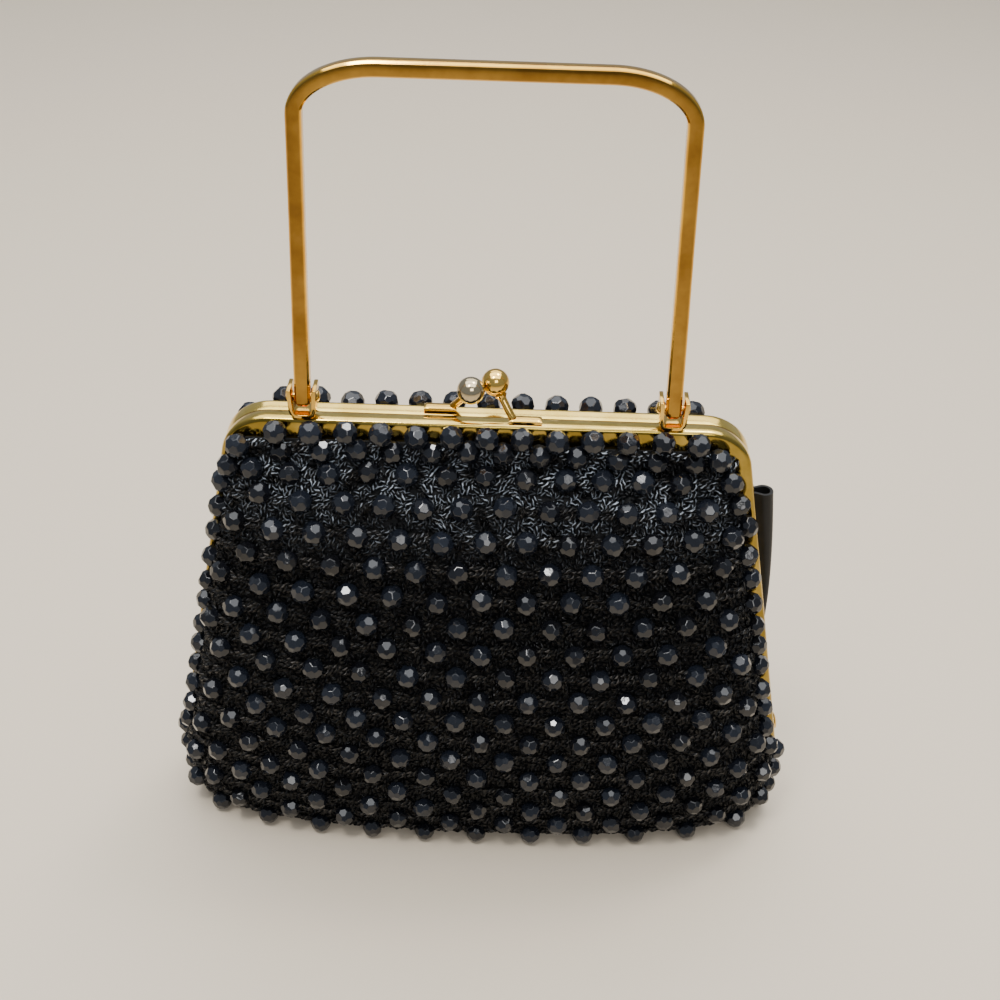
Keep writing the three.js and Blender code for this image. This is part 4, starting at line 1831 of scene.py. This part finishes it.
@dataclass
class Studio:
    """Floor, lamps, surrounding light and the camera at the photograph's angle."""

    floor: PaleFloor
    floor_half: float = 4000.0
    azimuth_deg: float = 0.3
    elevation_deg: float = 37.0
    roll_deg: float = 1.8
    target: tuple[float, float, float] = (4.95, 0.0, 153.2)
    distance: float = 441.1
    lens: float = 45.0
    sensor: float = 36.0
    clip_start: float = 0.01
    sky: Colour = (0.58, 0.64, 0.74)
    sky_strength: float = 0.6
    lamps: tuple[Lamp, ...] = (
        Lamp("ceiling", (0.0, 0.1, 1.5), (0.0, 0.0, 0.0), (2.0, 1.5), 38.0, (0.96, 0.98, 1.0)),
        Lamp("back", (0.1, 1.45, 1.5), (0.0, 0.0, 0.2), (2.0, 0.7), 11.0, (1.0, 0.98, 0.95)),
        Lamp("front", (0.25, -1.3, 1.25), (0.0, 0.0, 0.15), (0.7, 0.5), 7.0, (1.0, 0.99, 0.97)),
        Lamp("lamp_left", (-0.30, -0.35, 1.35), (0.0, 0.0, 0.15), (0.24, 0.24), 7.5, (1.0, 0.98, 0.95)),
        Lamp("lamp_right", (0.38, 0.30, 1.4), (0.0, 0.0, 0.15), (0.24, 0.24), 5.8, (1.0, 0.97, 0.93)),
    )

    def camera(self) -> bpy.types.Object:
        """Camera that looks as the photograph does.

        Returns:
            The camera, which is the scene's own.
        """
        turn, lift, roll = (math.radians(a) for a in (self.azimuth_deg, self.elevation_deg, self.roll_deg))
        back = Vector((math.sin(turn) * math.cos(lift), -math.cos(turn) * math.cos(lift), math.sin(lift)))
        level = Vector((math.cos(turn), math.sin(turn), 0.0))
        rise = back.cross(level)
        right = level * math.cos(roll) + rise * math.sin(roll)
        up = rise * math.cos(roll) - level * math.sin(roll)
        data = bpy.data.cameras.new("camera")
        data.lens = self.lens
        data.sensor_width = self.sensor
        data.clip_start = self.clip_start
        obj = link(bpy.data.objects.new("camera", data))
        pose = Matrix((right, up, back)).transposed().to_4x4()
        pose.translation = (Vector(self.target) + back * self.distance) * MM
        obj.matrix_world = pose
        bpy.context.scene.camera = obj
        return obj

    def build(self) -> None:
        """Put everything into the scene."""
        self.camera()
        signs = ((-1, -1), (1, -1), (1, 1), (-1, 1))
        corners = [Vector((x, y, 0.0)) * self.floor_half for x, y in signs]
        ground = dress(mesh_object("floor", corners, [[0, 1, 2, 3]]), self.floor)
        for lamp in self.lamps:
            lamp.build()
        world = bpy.data.worlds.new("studio")
        world.use_nodes = True
        sky = world.node_tree.nodes["Background"]
        sky.inputs["Color"].default_value = (*self.sky, 1.0)
        sky.inputs["Strength"].default_value = self.sky_strength
        bpy.context.scene.world = world


# The handle and frame finishes paint shade on their faces far from the middle plane.
HANDLE_GOLD = AgedGold(
    "handle_gold", bright=(0.86, 0.50, 0.08), dull=(0.70, 0.36, 0.04), tarnish=(0.14, 0.068, 0.017),
    shine=(0.05, 0.20), deep=(0.0043, 0.0049),
)
FITTING_GOLD = AgedGold(
    "fitting_gold", bright=(0.82, 0.52, 0.12), dull=(0.60, 0.36, 0.07), tarnish=(0.24, 0.13, 0.02),
    shine=(0.06, 0.24),
)
RUBBED_GOLD = replace(FITTING_GOLD, name="rubbed_gold", rubbed=(0.1955, 0.1975))
DULL_GOLD = AgedGold(
    "frame_gold", bright=(0.94, 0.68, 0.19), dull=(0.72, 0.49, 0.10), tarnish=(0.17, 0.115, 0.015),
    shine=(0.08, 0.26), deep=(0.0046, 0.0059),
)
JET = JetBead("jet_beads", black=(0.004, 0.004, 0.005), blue=(0.008, 0.010, 0.015), shine=(0.04, 0.16))
# The pale blue colour is painted light on the yarn near the frame.
YARN = TwistedYarn(
    "black_yarn", shade=(0.001, 0.001, 0.0012), ply=(0.005, 0.005, 0.005), chain=(0.095, 0.085, 0.075),
    faded=(0.62, 0.69, 0.78), shine=(0.18, 0.4),
)
GROUND = CrochetGround("black_crochet", shade=(0.001, 0.001, 0.0012), ply=(0.004, 0.004, 0.005))
SATIN = DullSatin("black_satin", shade=(0.004, 0.004, 0.004), worn=(0.008, 0.0075, 0.007))
FLOOR = PaleFloor("pale_floor", (0.62, 0.53, 0.41))

RIGHT_FOLD = (
    (56.0, -8.0, 1.7), (90.0, -2.2, 1.7), (104.0, 0.6, 1.7), (118.0, 2.9, 1.8), (132.0, 4.6, 2.3),
    (146.0, 5.9, 2.8), (161.5, 7.0, 3.2),
)
LEFT_FOLD = ((56.0, -4.0, 1.7), (108.0, -10.0, 1.7), (160.0, -15.5, 1.7))


def leg_rivets(up: float = 7.0, sunk: float = 0.6) -> RivetPair:
    """Rivets at the leg ends on which the frame's halves turn.

    Args:
        up: Distance up the leg from its end.
        sunk: Distance of the rivet's middle inside the leg's outer face.

    Returns:
        The pair.
    """
    z = FRAME_ARCH.leg_end + up * math.cos(FRAME_ARCH.flare)
    outward = [FRAME_ARCH.leg_out(side) for side in Side]
    spots = [Vector((side.value * FRAME_ARCH.leg_x(z), 0.0, z)) for side in Side]
    places = [spot - out * sunk for spot, out in zip(spots, outward)]
    return RivetPair(
        "hinge_rivets", ("hinge_rivet_left", "hinge_rivet_right"), places, outward,
        head=3.4, head_height=1.1, shank=1.4, half_grip=0.9, finish=FITTING_GOLD,
    )


def handle_rivets() -> RivetPair:
    """Rivets through the posts and the handle's ends.

    Returns:
        The pair.
    """
    x, y, z = HANDLE_PIVOT
    places = [Vector((side.value * x, y, z)) for side in Side]
    outward = [AXIS_X * side.value for side in Side]
    return RivetPair(
        "handle_rivets", ("rivet_left", "rivet_right"), places, outward,
        head=1.9, head_height=0.9, shank=1.0, half_grip=4.8, finish=FITTING_GOLD,
    )


def main() -> None:
    """Build the purse and the studio round it."""
    logging.basicConfig(level=logging.INFO, format="%(name)s: %(message)s")
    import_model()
    Studio(FLOOR).build()
    for face, clasp_gold in ((Face.FRONT, FITTING_GOLD), (Face.BACK, RUBBED_GOLD)):
        SnapFrame(DULL_GOLD).build(face)
        ClaspArm(face, clasp_gold).build()
    BailHandle(HANDLE_GOLD).build()
    for side in Side:
        HandlePost(side, FITTING_GOLD).build()
    leg_rivets().build()
    handle_rivets().build()
    form = PouchForm()
    pouch = CrochetPouch(form, GROUND, YARN)
    pouch.shell()
    beads = BeadField(form, JET)
    for face in Face:
        pouch.stitches(face)
        beads.build(face)
    SatinGusset(Side.RIGHT, RIGHT_FOLD, hem=-13.0, outward=True, finish=SATIN).build()
    SatinGusset(Side.LEFT, LEFT_FOLD, hem=-2.2, outward=False, finish=SATIN).build()


if __name__ == "__main__":
    main()
